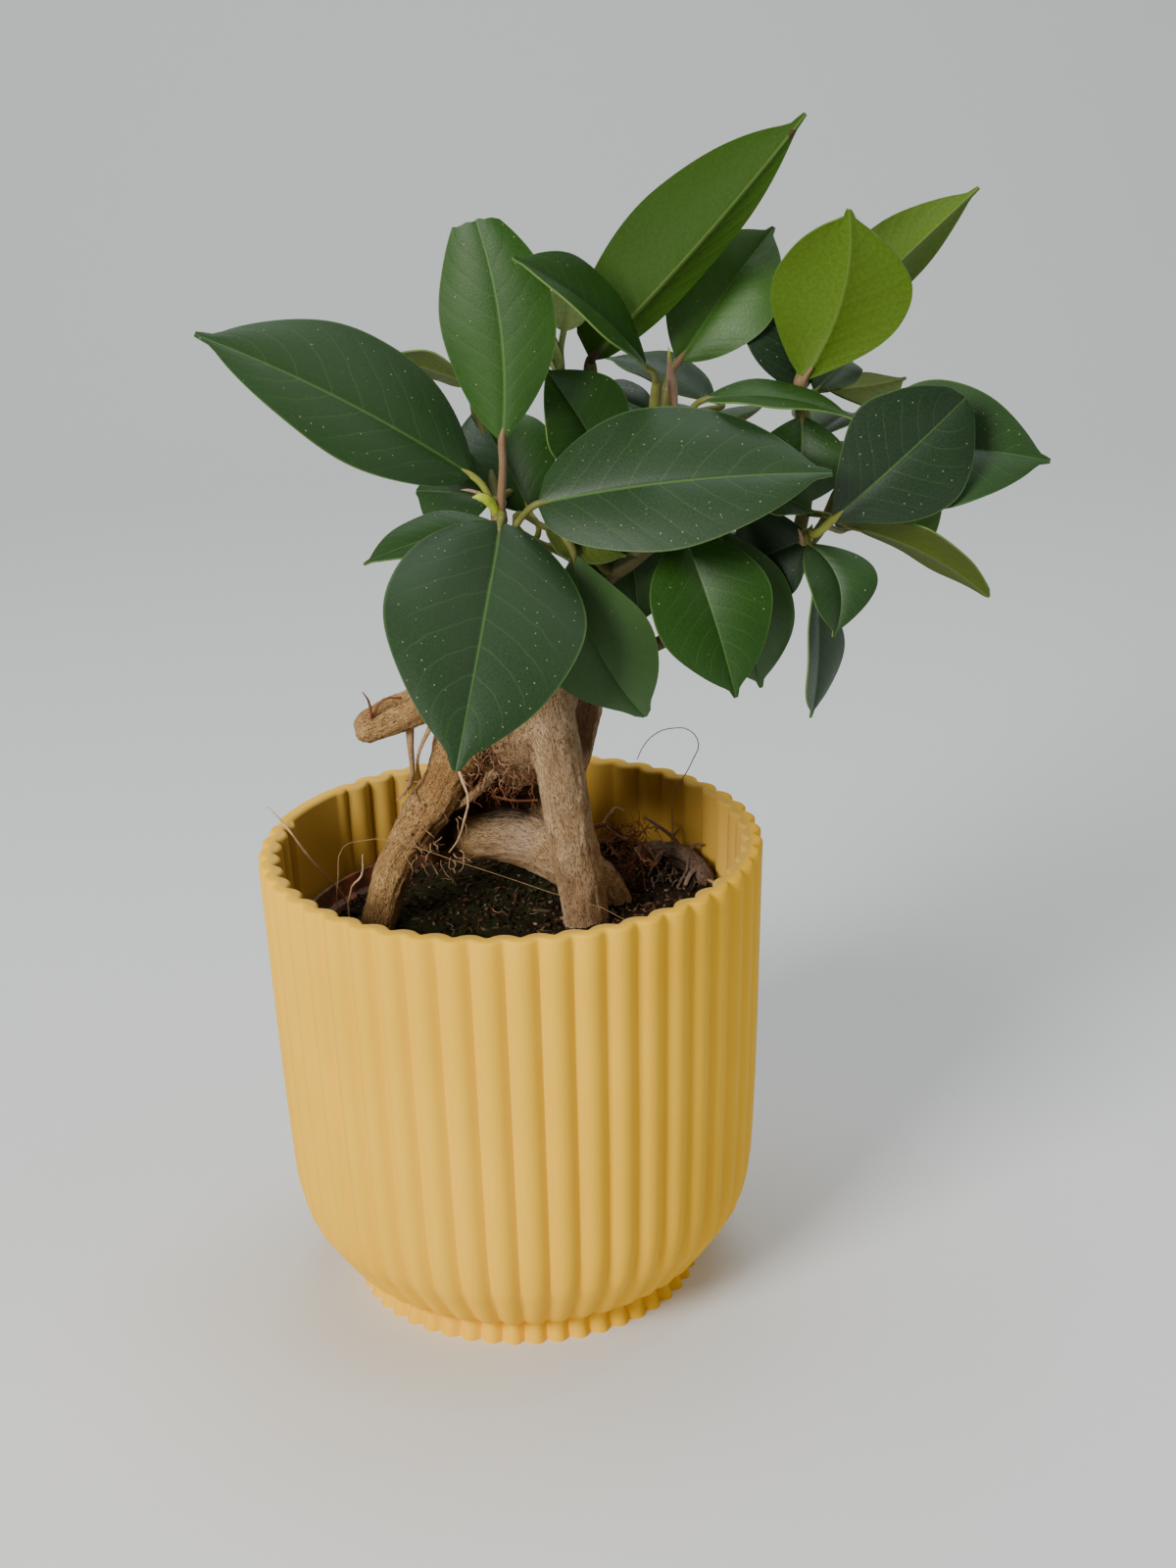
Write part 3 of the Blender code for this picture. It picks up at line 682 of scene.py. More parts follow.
surfaceRoute = [(33, 44, 101, 1.8), (38, 41.5, 109, 2.1), (44.5, 35.5, 111.6, 2.7), (50, 28.5, 112, 3.2),
                (54.5, 20.5, 110.8, 3.2), (55.5, 13, 106, 2.6), (53, 8, 99, 2.2)]
# lumps are slow swellings; ridges and cracks run along the root, with one scale across it and one along it
rootSkin = {"voxel": 0.55, "easing": 6, "lumps": 0.9, "ridges": 0.45, "cracks": 0.26}
surfaceSkin = {"voxel": 0.35, "easing": 0, "lumps": 0.5, "ridges": 0.7, "cracks": 0.35}
skinScales = {"lumps": 0.09, "ridges": (0.45, 0.09), "cracks": (1.7, 0.35), "betweenRoots": 40.0}
cutFace = {"point": (24, 9, 168), "normal": (0.45, -0.89, -0.05), "middle": (23, 9, 166), "reach": 14}


def routeSamples(routes, spacing=1.0):
    # evenly spaced places along the routes, each with its direction and its length so far
    samples = []
    for index, route in enumerate(routes):
        travelled = skinScales["betweenRoots"] * index
        for start, end in zip(route, route[1:]):
            a, b = Vector(start[:3]), Vector(end[:3])
            count = max(1, int((b - a).length / spacing))
            for i in range(count):
                length = travelled + (b - a).length * i / count
                samples.append((a.lerp(b, i / count), (b - a).normalized(), length))
            travelled += (b - a).length
    return samples


def barkPlaces(piece, routes):
    # for each point of the skin, where it lies round and along the nearest root, in millimetres
    samples = routeSamples(routes)
    tree = KDTree(len(samples))
    for i, sample in enumerate(samples):
        tree.insert(sample[0], i)
    tree.balance()
    places = []
    for vertex in piece.data.vertices:
        point = vertex.co / mm
        nearest = samples[tree.find(point)[1]]
        away = point - nearest[0]
        along = away.dot(nearest[1])
        away -= nearest[1] * along
        sideways = nearest[1].orthogonal()
        places.append(Vector((away.dot(sideways), away.dot(nearest[1].cross(sideways)), nearest[2] + along)))
    return places


def alongNoise(place, across, along):
    return noise.noise(Vector((place.x * across, place.y * across, place.z * along)))


def growSkin(piece, routes, skin):
    cover = piece.modifiers.new("skin", "REMESH")
    cover.mode = "VOXEL"
    cover.voxel_size = skin["voxel"] * mm
    if skin["easing"]:
        piece.modifiers.new("ease", "SMOOTH").iterations = skin["easing"]
    applyAll(piece)
    places = barkPlaces(piece, routes)
    normals = [vertex.normal.copy() for vertex in piece.data.vertices]
    for vertex, normal, place in zip(piece.data.vertices, normals, places):
        height = skin["lumps"] * noise.noise(vertex.co / mm * skinScales["lumps"])
        height += skin["ridges"] * alongNoise(place, *skinScales["ridges"])
        height += skin["cracks"] * alongNoise(place, *skinScales["cracks"])
        vertex.co += normal * height * mm
    layer = piece.data.attributes.new("barkPlace", "FLOAT_VECTOR", "POINT")
    layer.data.foreach_set("vector", [number for place in places for number in place])
    smoothShade(piece, 180)


def makeRoot():
    tubes = {name: makeTubes(name, [route], sides=24, steps=8) for name, route in rootRoutes.items()}
    selectOnly(tubes["cutBack"])
    bpy.ops.object.mode_set(mode="EDIT")
    bpy.ops.mesh.select_all(action="SELECT")
    bpy.ops.mesh.bisect(plane_co=Vector(cutFace["point"]) * mm, plane_no=cutFace["normal"], use_fill=True,
                        clear_outer=True)
    bpy.ops.object.mode_set(mode="OBJECT")
    root = joinAs("ginsengRoot", list(tubes.values()))
    growSkin(root, list(rootRoutes.values()), rootSkin)
    return root


def makeSurfaceRoot():
    stub = makeTubes("surfaceRoot", [surfaceRoute], sides=16, steps=6)
    growSkin(stub, [surfaceRoute], surfaceSkin)
    return stub


def onCutFace(place):
    point = tuple(number * mm for number in cutFace["point"])
    normal = tuple(Vector(cutFace["normal"]).normalized())
    depth = vectorOf("DOT_PRODUCT", vectorOf("SUBTRACT", place, point), normal, "Value")
    flat = stepOf(mathOf("ABSOLUTE", depth), 1.5 * mm, 1.0 * mm)
    return times(flat, nearPlace(place, cutFace["middle"], cutFace["reach"], 4))


def streaked(bark, across, along, scale, detail, roughness):
    inputs = {"Vector": bark, "Scale": (across, across, along)}
    return noiseOf(addNode(bark, "Mapping", inputs).outputs[0], scale, detail, roughness)


def trunkShades(color, place, streak, mid, dark):
    # painted shade in the crotch, the cut face, painted shade in the hollows, painted light on the low root's
    # top, painted shade behind the right leg and a darker, yellower left side as painted shade
    # painted shade in the two hollows at the back of the root
    hollowShades = [nearPlace(place, (-1, 18, 143), 13, 4), nearPlace(place, (-20, 23, 131), 10, 4)]
    paintedHollowShade = mathOf("MAXIMUM", *hollowShades)
    # painted light: lighter streaks on the top of the low root
    paintedLightOnLowRoot = times(nearPlace(place, (-3, 10, 129), 9, 4), stepOf(streak, 0.36, 0.56))
    color = layered(color, [
        # painted shade in the crotch between the legs
        (nearPlace(place, (-3, 0, 157), 11, 5), 0.6, blend(mid, dark, 0.55)),
        (onCutFace(place), 0.8, (0.12, 0.055, 0.024)),
        (paintedHollowShade, 0.9, blend(dark, (0.05, 0.02, 0.01), 0.5)),
        (paintedLightOnLowRoot, 0.75, (0.60, 0.45, 0.31)),
        (nearPlace(place, (18, 13, 119), 6, 4), 0.6, blend(mid, dark, 0.75))])
    # painted shade: the left side of the root is darker and yellower
    paintedShadeLeft = stepOf(addNode(place, "SeparateXYZ", {0: place}).outputs["X"], 0.006, -0.014)
    return mixColors(paintedShadeLeft, color, (0.88, 0.79, 0.58), "MULTIPLY")


def paleBark(name, light, mid, dark, isTrunk):
    material, shader = newMaterial(name, mid, 0.78, Specular_IOR_Level=0.2)
    place = objectPlace(shader)
    bark = stored(shader, "barkPlace", "Vector")
    streak = streaked(bark, 0.7, 0.17, 1.6, 5, 0.7)
    fleck = stepOf(streaked(bark, 2.4, 0.8, 1.2, 4, 0.7), 0.455, 0.37)
    ring = stepOf(streaked(bark, 0.5, 2.2, 1.0, 3, 0.6), 0.36, 0.30)
    fibre = streaked(bark, 3.4, 0.5, 1.0, 3, 0.65)
    patches = stepOf(noiseOf(place, 110, 5, 0.7), 0.38, 0.62)
    color = layered(mixColors(patches, mid, light), [
        (stepOf(noiseOf(place, 48), 0.42, 0.68), 0.5, blend(mid, (0.28, 0.13, 0.045), 0.55)),
        (stepOf(streak, 0.5, 0.34), 0.6, blend(mid, dark, 0.6)), (stepOf(streak, 0.58, 0.74), 0.55, light),
        (stepOf(fibre, 0.5, 0.36), 0.5, blend(mid, dark, 0.5)), (stepOf(fibre, 0.56, 0.7), 0.45, light),
        (fleck, 0.75, dark), (ring, 0.5, blend(mid, dark, 0.7))])
    if isTrunk:
        color = trunkShades(color, place, streak, mid, dark)
    height = addNode(place, "SeparateXYZ", {0: place}).outputs["Z"]
    # darker towards the bottom, fading in from 128 mm down to 112 mm
    darkerLow = stepOf(plus(height, times(streak, 0.02)), 0.128, 0.112)
    feed(shader, "Base Color", layered(color, [(darkerLow, 0.3, dark)]))
    relief = minus(minus(streak, times(fleck, 0.45)), times(ring, 0.35))
    bumpFrom(shader, plus(relief, times(fibre, 0.5)), 0.95, 0.65)
    return material


barkOfRoot = paleBark("paleBark", (0.70, 0.49, 0.285), (0.45, 0.275, 0.135), (0.095, 0.042, 0.016), True)
ginsengRoot = makeRoot()
usePaint(ginsengRoot, barkOfRoot)
finishPiece(ginsengRoot, "pale_bark", "ginseng_root")
surfaceRoot = makeSurfaceRoot()
greyBark = paleBark("greyBark", (0.27, 0.19, 0.14), (0.14, 0.085, 0.058), (0.035, 0.018, 0.011), False)
usePaint(surfaceRoot, greyBark)
finishPiece(surfaceRoot, "pale_bark", "surface_root")


# Leafy stems: the same routes and leaf places as in the part, with finer blades

stemRoutes = {
    "left": [[(3, 4, 190, 2.8), (2, 0, 208, 2.4), (0, -5, 220, 2.2), (0.8, -7, 227, 1.8)],
             [(1, -3, 216, 1.8), (0, 8, 226, 1.7), (-3, 22, 240, 1.6), (-5, 32, 251, 1.3)],
             [(2, 0, 208, 1.8), (5, 10, 209, 1.6), (10, 19, 206, 1.4)]],
    "middle": [[(12, 11, 192, 3), (24, 16, 208, 2.6), (33, 17, 222, 2.4), (38, 16, 235, 2.0)],
               [(33, 17, 222, 2.0), (29, 16, 240, 1.8), (27, 16, 261, 1.4)],
               [(38, 16, 234, 1.8), (43, 11, 246, 1.6), (44, 7, 258, 1.3)],
               [(38, 16, 234, 1.8), (46, 22, 244, 1.6), (49, 24, 257, 1.3)],
               [(38, 16, 234, 1.8), (48, 28, 238, 1.6), (58, 40, 241, 1.3)],
               [(29, 16, 242, 1.2), (22, 15, 250, 1.1), (19, 15, 258, 1.0)]],
    "low": [[(17, 2, 188, 2.6), (28, 3, 204, 2.2), (42, 1, 215, 2), (53, -3, 222, 1.6)]],
    "right": [[(17, 7, 180, 3), (30, 4, 181, 2.3), (41, 4, 185, 1.9), (48, 4, 188.5, 1.8), (62, 3, 196, 1.8),
               (78, 1, 206, 1.8), (82, -4, 217, 1.6)],
              [(79, 0, 208, 1.8), (84, 9, 226, 1.7), (83, 12, 242, 1.7), (82, 12, 255, 1.4)],
              [(84, 10, 232, 1.6), (85, 20, 242, 1.5), (85, 34, 246, 1.3)],
              [(79, 0, 208, 1.6), (88, 8, 216, 1.6), (96, 14, 230, 1.3)]],
}
petiole = {
    "radius": 1.15, "smallRadius": 0.9, "smallWidth": 30, "tinyRadius": 0.65, "tinyWidth": 12, "reach": 9,
    "bend": 0.4, "follow": 0.3, "foot": 0.3, "inBlade": 4, "sunk": 0.3,
    "swellings": (1.5, 1.1, 0.95, 1, 0.45),
}
stemShape = {"scar": 1.12, "woodTop": 196, "woodFade": 30}
blade = {
    "rows": 40, "columns": 14, "midribCrowding": 1.6, "thickness": 0.5, "narrowest": 0.035,
    "ovalEnd": 0.95, "ovalFullness": 0.73, "dripMiddle": 0.84, "dripReach": 0.16,
    "hookStart": 0.56, "hookLength": 0.16, "ribDepth": 0.34, "ribWidth": 0.9, "ribFade": 0.6, "dome": 0.06,
    "waveHeight": 0.45, "waves": 1.7, "unevenness": 0.012, "unevenWaves": 2.3,
    "tearSlant": 0.012, "tearTeeth": 0.004,
}
plainLeaf = {
    "fold": 8, "belly": 0.5, "blunt": 0.12, "slim": 1, "arch": 0, "sway": 0, "hook": 0, "stout": 1,
    "ease": petiole["bend"], "fullness": blade["ovalFullness"], "spot": (0, 0, 0),
}
stemColors = {
    "wood": (0.085, 0.055, 0.026), "olive": (0.13, 0.14, 0.028), "yellowGreen": (0.27, 0.29, 0.045),
    "pinkBrown": (0.20, 0.125, 0.06), "darkBrown": (0.07, 0.032, 0.018), "budGreen": (0.40, 0.50, 0.03),
    "paleGreen": (0.36, 0.42, 0.13), "bract": (0.42, 0.26, 0.17),
}
# buds and bracts as routes of (x, y, z, radius)
buds = {
    "left": [("budGreen", [(0, -8, 228, 1.2), (-2.2, -10, 231.4, 1.3), (-4.2, -10.8, 232.6, 1.1),
                           (-6, -11, 232.6, .2)]),
             ("bract", [(-4, -10, 233.4, .5), (-7, -11, 234.6, .4), (-9, -11, 234.8, .1)]),
             ("pinkBrown", [(0.4, -7, 223, 2), (0.8, -7.3, 225.5, 2.3), (1.2, -7.6, 228, 1.6)])],
    "middle": [("bract", [(48.8, 14, 249.5, 1.1), (48.3, 12, 255, 1.35), (47.6, 10.5, 259.5, .9),
                          (47.2, 9.5, 263.5, .12)]),
               ("budGreen", [(48.2, 12, 256, .8), (47.6, 10.8, 261.5, .7), (47.3, 10, 266, .1)])],
    "low": [("olive", [(51, -2, 220.5, 1.9), (53.3, -3.2, 222.6, 1.9), (54.6, -4, 224.5, .8)])],
    "right": [("bract", [(81.4, -4, 214.5, 1.1), (80.6, -5.6, 217.4, .8), (79.6, -6.6, 219.4, .15)]),
              ("yellowGreen", [(82, -4.5, 215, 1.5), (82.6, -6.2, 218, 1.2), (83.2, -7.6, 220.6, .2)]),
              ("pinkBrown", [(82, 10, 252, 1.8), (82.4, 9, 255.5, 1.9), (82.8, 8.2, 257.4, 1.1)])],
}


def leaf(base, tip, width, face, tone=0.2, under=0.2, stalk="olive", **shape):
    # tone and under pick the sides' colours from the ramps in leafTopPaint and leafUnderPaint, some as
    # painted light
    return {**plainLeaf, "base": base, "tip": tip, "width": width, "face": face, "tone": tone,
            "under": under, "stalk": stalk, **shape}


# tones near 1 on the top side, and some raised tones, are painted light on leaves lying in other leaves'
# shade
leaves = {
    "left": [
        leaf((-6, -9, 238), (-73, -22, 280), 46, (.12, -.72, .7), .22, stalk="yellowGreen",
             joins=(0.5, -7, 225), ease=.15, stout=.8, fold=-4, slim=.66, belly=.45, arch=4),
        leaf((2.3, -9, 247), (-4.5, 1, 310), 29, (-.2, -.97, .2), .735, stalk="pinkBrown",
             joins=(1, -7, 226), stout=1.2, ease=.1, fold=-8, slim=1.1, belly=.51, arch=2, sway=4.5,
             crop=.865),
        leaf((1, -12, 226), (-13, -62, 176), 52, (.16, -.78, .6), .12, fold=3, belly=.44, arch=4,
             blunt=.15),
        leaf((11, -14, 231), (86, -26, 239), 38, (.02, -.72, .69), .11, stalk="olive",
             joins=(1, -4, 216), ease=.08, stout=.85, fold=-3, slim=1.24, fullness=.55, belly=.45,
             arch=4),
        leaf((0, -5, 223.5), (-35, -17, 217.5), 16, (-.15, -.45, .88), .3, fold=12, arch=2),
        leaf((-1, 0, 229), (-21, 8, 230), 24, (0, -.85, .5), .3, fold=6, arch=2, blunt=.2),
        leaf((9, 11, 222), (-5, 30, 247), 29, (.1, -.8, .6), .45, stalk="yellowGreen", fold=10, arch=3),
        leaf((-4, 34, 252), (-28, 41, 259.5), 17, (0, .62, .78), .4, .25, fold=4, belly=.55, arch=1,
             blunt=.3),
        leaf((-4, 11, 226), (-10, 52, 210), 25, (-.1, .25, .95), .3, .1, arch=5),
        leaf((4, 14, 227), (12, 60, 214), 32, (0, .1, 1), .2, .1, fold=10, arch=6),
        leaf((11, 21, 205), (-6, 58, 190), 28, (-.1, .4, .9), .3, .1, arch=5),
    ],
    "middle": [
        leaf((30, 10, 234), (14, 3, 263), 28, (.3, -.85, .4), .5, fold=16, arch=2),
        leaf((41, 3, 262), (7, -17, 295), 29, (.55, -.36, .75), .68, fold=12, arch=3),
        leaf((27, 16, 262), (82, -4, 326), 37.5, (.62, .72, .3), .7, .6, stalk="darkBrown", stout=1.2,
             joins=(26.5, 16, 249), ease=.1, fold=4, foldRight=40, slim=.4, fullness=.45, belly=.45,
             arch=2, sway=-1, spot=(.93, -.75, 1.5)),
        leaf((51, 24, 259), (78, 31, 294), 30, (-.2, -.9, .25), .8, stalk="pinkBrown", fold=10, arch=2,
             hook=20),
        leaf((20, 16, 270), (23, 18, 285), 12.5, (0, .9, .2), .8, .75, stalk="paleGreen", fold=20,
             belly=.4),
        leaf((18, 14, 259), (14, 12, 275), 6, (.5, .6, -.3), .9, .76, stalk="paleGreen", fold=10,
             belly=.4),
        leaf((62, 46, 243), (33, 56, 254), 26, (0, -.1, .99), .1, fold=6, belly=.45, arch=2),
        leaf((45, 32, 242), (26, 38, 248), 15, (0, -.5, .86), .1, fold=6, arch=2),
        leaf((44, 28, 232), (26, 70, 220), 32, (0, .3, .95), .25, arch=6),
        leaf((56, 38, 236), (68, 78, 226), 30, (.1, .3, .95), .3, fold=10, arch=5),
        leaf((56, -2, 254), (93, -13, 250), 20, (0, -.12, .99), .45, joins=(49, 6, 243), ease=.1, fold=6,
             belly=.4, arch=3),
    ],
    "low": [
        leaf((49, -12, 220), (61, -24, 179), 33, (.1, -.88, .45), .7, belly=.44, arch=4),
        leaf((59, -3, 219), (69, -11, 177), 27, (.1, -.88, .45), .93, belly=.52, arch=4),
        leaf((20, -5, 215), (37, -22, 174), 31, (.25, -.85, .45), .95, belly=.6, arch=4, sway=6,
             blunt=.3),
        leaf((35, 13, 222), (38, 11, 189), 26, (0, -.9, .4), .5, arch=3),
        leaf((54, 8, 212), (66, 48, 188), 30, (0, .6, .8), .3, arch=5),
        leaf((13, 3, 220), (34, -4, 213), 15, (0, .3, -.95), .6, .42, fold=6, arch=1),
        leaf((68, -9, 232), (83, -12, 225), 13, (.1, -.7, .7), .35, belly=.4, arch=1),
    ],
    "right": [
        leaf((83, 8, 256), (93, -4, 302), 37, (.05, .97, .1), .85, 1, stalk="pinkBrown", ease=.2,
             stout=.85, fold=3, belly=.53, arch=3, sway=-4.5),
        leaf((90, 24, 264), (133, 32, 301), 25, (.55, .7, .35), .75, 1, fold=20, foldRight=56,
             belly=.45, arch=3, spot=(.5, .4, 1.1)),
        leaf((84, 20, 250), (77, 30, 285), 24, (-.25, -.9, .3), 0, fold=24, arch=3),
        leaf((88, 24, 249), (100, 38, 254), 16, (0, -.5, .8), .4, fold=12, arch=2),
        leaf((93, 36, 247), (116, 44, 247.5), 17, (0, .35, -.94), .8, .4, fold=6, arch=1),
        leaf((82, 4, 247), (80, 0, 223), 26, (0, -.95, .3), .4, fold=10, arch=3),
        leaf((88, -12, 223), (123, -8, 253), 36, (.32, -.9, .28), .02, stalk="yellowGreen", fold=4,
             belly=.58, arch=2, blunt=.5),
        leaf((97, 10, 237), (147, -3, 234), 36, (.05, -.85, .5), .25, belly=.45, arch=5),
        leaf((94, -1, 218), (130, -12, 200), 22, (.2, .6, .8), .35, .25, fold=9, belly=.56, arch=3,
             blunt=.45),
        leaf((107, 24, 227), (119, 20, 204), 19, (0, -.8, .5), .85, arch=2),
        leaf((83, -4, 216), (63, 4, 206), 26, (0, -.9, .35), .1, arch=2),
        leaf((82, -10, 216), (87, -22, 194), 21, (.3, -.8, .5), .25, fold=14, arch=4, sway=-3.5),
        leaf((84, -4, 208), (83, -6, 166), 26, (.86, -.48, .2), .2, belly=.62, arch=2),
        leaf((89, 27, 236), (112, 64, 228), 32, (.1, .3, .95), .3, arch=5),
        leaf((94, 16, 212), (122, 52, 194), 28, (.3, .3, .9), .3, arch=5),
    ],
}


def bladeHalfWidth(shape, u):
    # 1 at the leaf's belly: an oval that closes near the tip, with a drip tip added to it
    beforeBelly = u < shape["belly"] * blade["ovalEnd"]
    fullness = shape["fullness"] if beforeBelly else blade["ovalFullness"]
    power = math.log(0.5) / math.log(shape["belly"])
    oval = max(0, math.sin(math.pi * min(u / blade["ovalEnd"], 1) ** power)) ** fullness
    nearTip = (u - blade["dripMiddle"]) / blade["dripReach"]
    drip = shape["blunt"] * math.sqrt(1 - nearTip ** 2) if abs(nearTip) < 1 else 0
    return max((oval ** 3 + drip ** 3) ** (1 / 3), blade["narrowest"])


def bladeAxes(shape):
    base = Vector(shape["base"])
    along = Vector(shape["tip"]) - base
    length = along.length
    along.normalize()
    up = Vector(shape["face"])
    up = (up - along * up.dot(along)).normalized()
    return base, length, along, up, along.cross(up)


def bladePoint(shape, u, v, seed=0):
    # a point of the blade: u runs from base to tip, v from edge to edge; a crop ends it in a torn edge
    if "crop" in shape:
        tear = blade["tearSlant"] * math.sin(2 * v + 1) + blade["tearTeeth"] * math.sin(11 * v)
        u *= shape["crop"] * (1 + tear)
    base, length, along, up, side = bladeAxes(shape)
    hook = math.radians(shape["hook"])
    spine = min(u, blade["hookStart"]) if hook else u
    bow = 4 * spine * (1 - spine)
    centre = base + along * (length * spine) + up * (shape["arch"] * bow)
    centre += side * (shape["sway"] * bow)
    if hook and u > blade["hookStart"]:
        bendRadius = blade["hookLength"] * length / hook
        beyond = (u - blade["hookStart"]) * length
        turn = min(hook, beyond / bendRadius)
        centre += along * (bendRadius * math.sin(turn)) - up * (bendRadius * (1 - math.cos(turn)))
        onward = along * math.cos(turn) - up * math.sin(turn)
        centre += onward * max(0, beyond - bendRadius * hook)
        up = up * math.cos(turn) + along * math.sin(turn)
    half = shape["width"] / 2 * bladeHalfWidth(shape, u)
    phase = blade["unevenWaves"] * u + 3 * seed + (0.4 if v < 0 else 0)
    half *= 1 + blade["unevenness"] * math.sin(2 * math.pi * phase)
    fold = math.radians(shape["fold"])
    if v < 0:
        fold = math.radians(shape.get("foldRight", shape["fold"]))
        half *= shape["slim"]
    across = abs(v) * half
    rise = blade["dome"] * half * math.sin(math.pi * abs(v))
    rise -= blade["ribDepth"] * (1 - blade["ribFade"] * u) * math.exp(-(across / blade["ribWidth"]) ** 2)
    wave = math.sin(2 * math.pi * (blade["waves"] * u + seed)) * math.sin(math.pi * u)
    rise += blade["waveHeight"] * v * v * wave
    sideways = side * math.copysign(1, v) if v else side * 0
    outward = sideways * math.cos(fold) + up * math.sin(fold)
    lift = up * math.cos(fold) - sideways * math.sin(fold)
    return centre + outward * across + lift * rise, (u * length, math.copysign(across, v))


def makeBlade(shape, seed):
    bpy.ops.object.select_all(action="DESELECT")
    bpy.ops.mesh.primitive_grid_add(x_subdivisions=blade["rows"], y_subdivisions=blade["columns"], size=2)
    made = bpy.context.object
    mesh = made.data
    maps = {"share": [], "flat": []}
    for vertex in mesh.vertices:
        u = (vertex.co.x + 1) / 2
        v = math.copysign(abs(vertex.co.y) ** blade["midribCrowding"], -vertex.co.y)
        point, flat = bladePoint(shape, u, v, seed)
        vertex.co = point * mm
        maps["share"].append((u, (v + 1) / 2))
        maps["flat"].append((flat[0] / 100, flat[1] / 100))
    mesh.uv_layers[0].name = "share"
    mesh.uv_layers.new(name="flat")
    for name, places in maps.items():
        for loop in mesh.loops:
            mesh.uv_layers[name].data[loop.index].uv = places[loop.vertex_index]
    spotU, spotV, spotRadius = shape["spot"]
    spotAlong, spotAcross = bladePoint(shape, spotU, spotV, seed)[1]
    facts = {"spotAlong": spotAlong, "spotAcross": spotAcross, "spotRadius": spotRadius,
             "leafToneAndLight": shape["tone"], "underToneAndLight": shape["under"], "leafSeed": seed}
    for name, number in facts.items():
        storeNumbers(made, name, [number] * len(mesh.vertices))
    usePaint(made, *leafPaints)
    body = made.modifiers.new("thickness", "SOLIDIFY")
    body.thickness = blade["thickness"] * mm
    body.offset = 0
    body.material_offset = 1
    body.material_offset_rim = 2
    applyAll(made)
    return made


def nearestOnStems(point, routes):
    best = None
    for route in routes:
        for start, end in zip(route, route[1:]):
            a, b = Vector(start[:3]), Vector(end[:3])
            share = max(0, min(1, (point - a).dot(b - a) / (b - a).length_squared))
            place = a.lerp(b, share)
            if best is None or (place - point).length < (best - point).length:
                best = place
    return best


def petioleRoute(shape, routes):
    base, length, along, up = bladeAxes(shape)[:4]
    if "joins" in shape:
        root = Vector(shape["joins"])
    else:
        root = nearestOnStems(base - along * petiole["reach"], routes)
    follow = max(0, petiole["follow"] - shape["ease"])
    bend = base - along * (shape["ease"] * (base - root).length) - (base - root) * follow
    end = bladePoint(shape, petiole["inBlade"] / length, 0)[0] - up * petiole["sunk"]
    radius = petiole["radius"]
    if shape["width"] < petiole["smallWidth"]:
        radius = petiole["smallRadius"] if shape["width"] > petiole["tinyWidth"] else petiole["tinyRadius"]
    radius *= shape["stout"]
    places = (root, root.lerp(bend, petiole["foot"]), bend, base, end)
    return [(*place, radius * size) for place, size in zip(places, petiole["swellings"])]


def ringedRoute(route):
    # a small swelling, as at a leaf scar, halfway along each length of stem
    ringed = [route[0]]
    for start, end in zip(route, route[1:]):
        x, y, z, radius = ((a + b) / 2 for a, b in zip(start, end))
        ringed += [(x, y, z, radius * stemShape["scar"]), end]
    return ringed


def makeStalk(name, route, color, sides=10):
    stalk = makeTubes(name, [route], sides=sides, steps=6)
    usePaint(stalk, stemSkin)
    storeColor(stalk, "skinColor", [color] * len(stalk.data.vertices))
    return stalk


def makeLeafyStem(name):
    rng = random.Random(name)
    routes = stemRoutes[name]
    stems = makeTubes(name + "Stems", [ringedRoute(route) for route in routes], sides=12, steps=5)
    usePaint(stems, stemSkin)
    greens = [max(0, min(1, (vertex.co.z / mm - stemShape["woodTop"]) / stemShape["woodFade"]))
              for vertex in stems.data.vertices]
    colors = [blend(stemColors["wood"], stemColors["olive"], green) for green in greens]
    storeColor(stems, "skinColor", colors)
    pieces = [stems]
    for shape in leaves[name]:
        pieces.append(makeStalk(name + "Petiole", petioleRoute(shape, routes), stemColors[shape["stalk"]]))
        pieces.append(makeBlade(shape, rng.random()))
    for color, route in buds[name]:
        pieces.append(makeStalk(name + "Bud", route, stemColors[color]))
    joined = joinAs("leafyStem" + name.capitalize(), pieces)
    smoothShade(joined, 50)
    return joined


def leafFacts(shader, toneName):
    # what the leaf paints read: place along and across, the leaf's own place in the noises, tone and spot
    share = addNode(shader, "SeparateXYZ", {0: addNode(shader, "UVMap", uv_map="share").outputs[0]}).outputs
    flatMap = addNode(shader, "UVMap", uv_map="flat").outputs[0]
    flat = addNode(shader, "SeparateXYZ", {0: flatMap}).outputs
    alongMm, acrossMm = times(flat[0], 100), times(flat[1], 100)
    seed = times(stored(shader, "leafSeed"), 37)
    offset = addNode(shader, "CombineXYZ", {0: seed, 1: times(seed, 1.7)}).outputs[0]
    ownPlace = vectorOf("ADD", flatMap, offset)
    awayU = minus(alongMm, stored(shader, "spotAlong"))
    awayV = minus(acrossMm, stored(shader, "spotAcross"))
    away = mathOf("SQRT", plus(mathOf("POWER", awayU, 2), mathOf("POWER", awayV, 2)))
    ragged = plus(away, times(noiseOf(ownPlace, 110), 1.2))
    return {
        "along": share[0], "across": mathOf("ABSOLUTE", minus(times(share[1], 2), 1)),
        "acrossMm": mathOf("ABSOLUTE", acrossMm), "place": ownPlace, "tone": stored(shader, toneName),
        "spot": mathOf("LESS_THAN", ragged, times(stored(shader, "spotRadius"), 1.3))}


def ribAndVeins(facts, pairs=9, slant=2.3):
    along, across = facts["along"], facts["across"]
    rib = stepOf(mathOf("DIVIDE", facts["acrossMm"], plus(times(along, -0.42), 0.62)), 1.2, 0.4)
    slanted = minus(times(along, pairs), times(mathOf("POWER", across, 1.15), slant))
    nearVein = mathOf("PINGPONG", plus(slanted, times(noiseOf(facts["place"], 12, 2), 0.35)), 0.5)
    fade = times(stepOf(across, 0.95, 0.6), stepOf(along, 0.97, 0.8))
    return rib, times(stepOf(nearVein, 0.05, 0.012), fade), stepOf(nearVein, 0.0, 0.3)


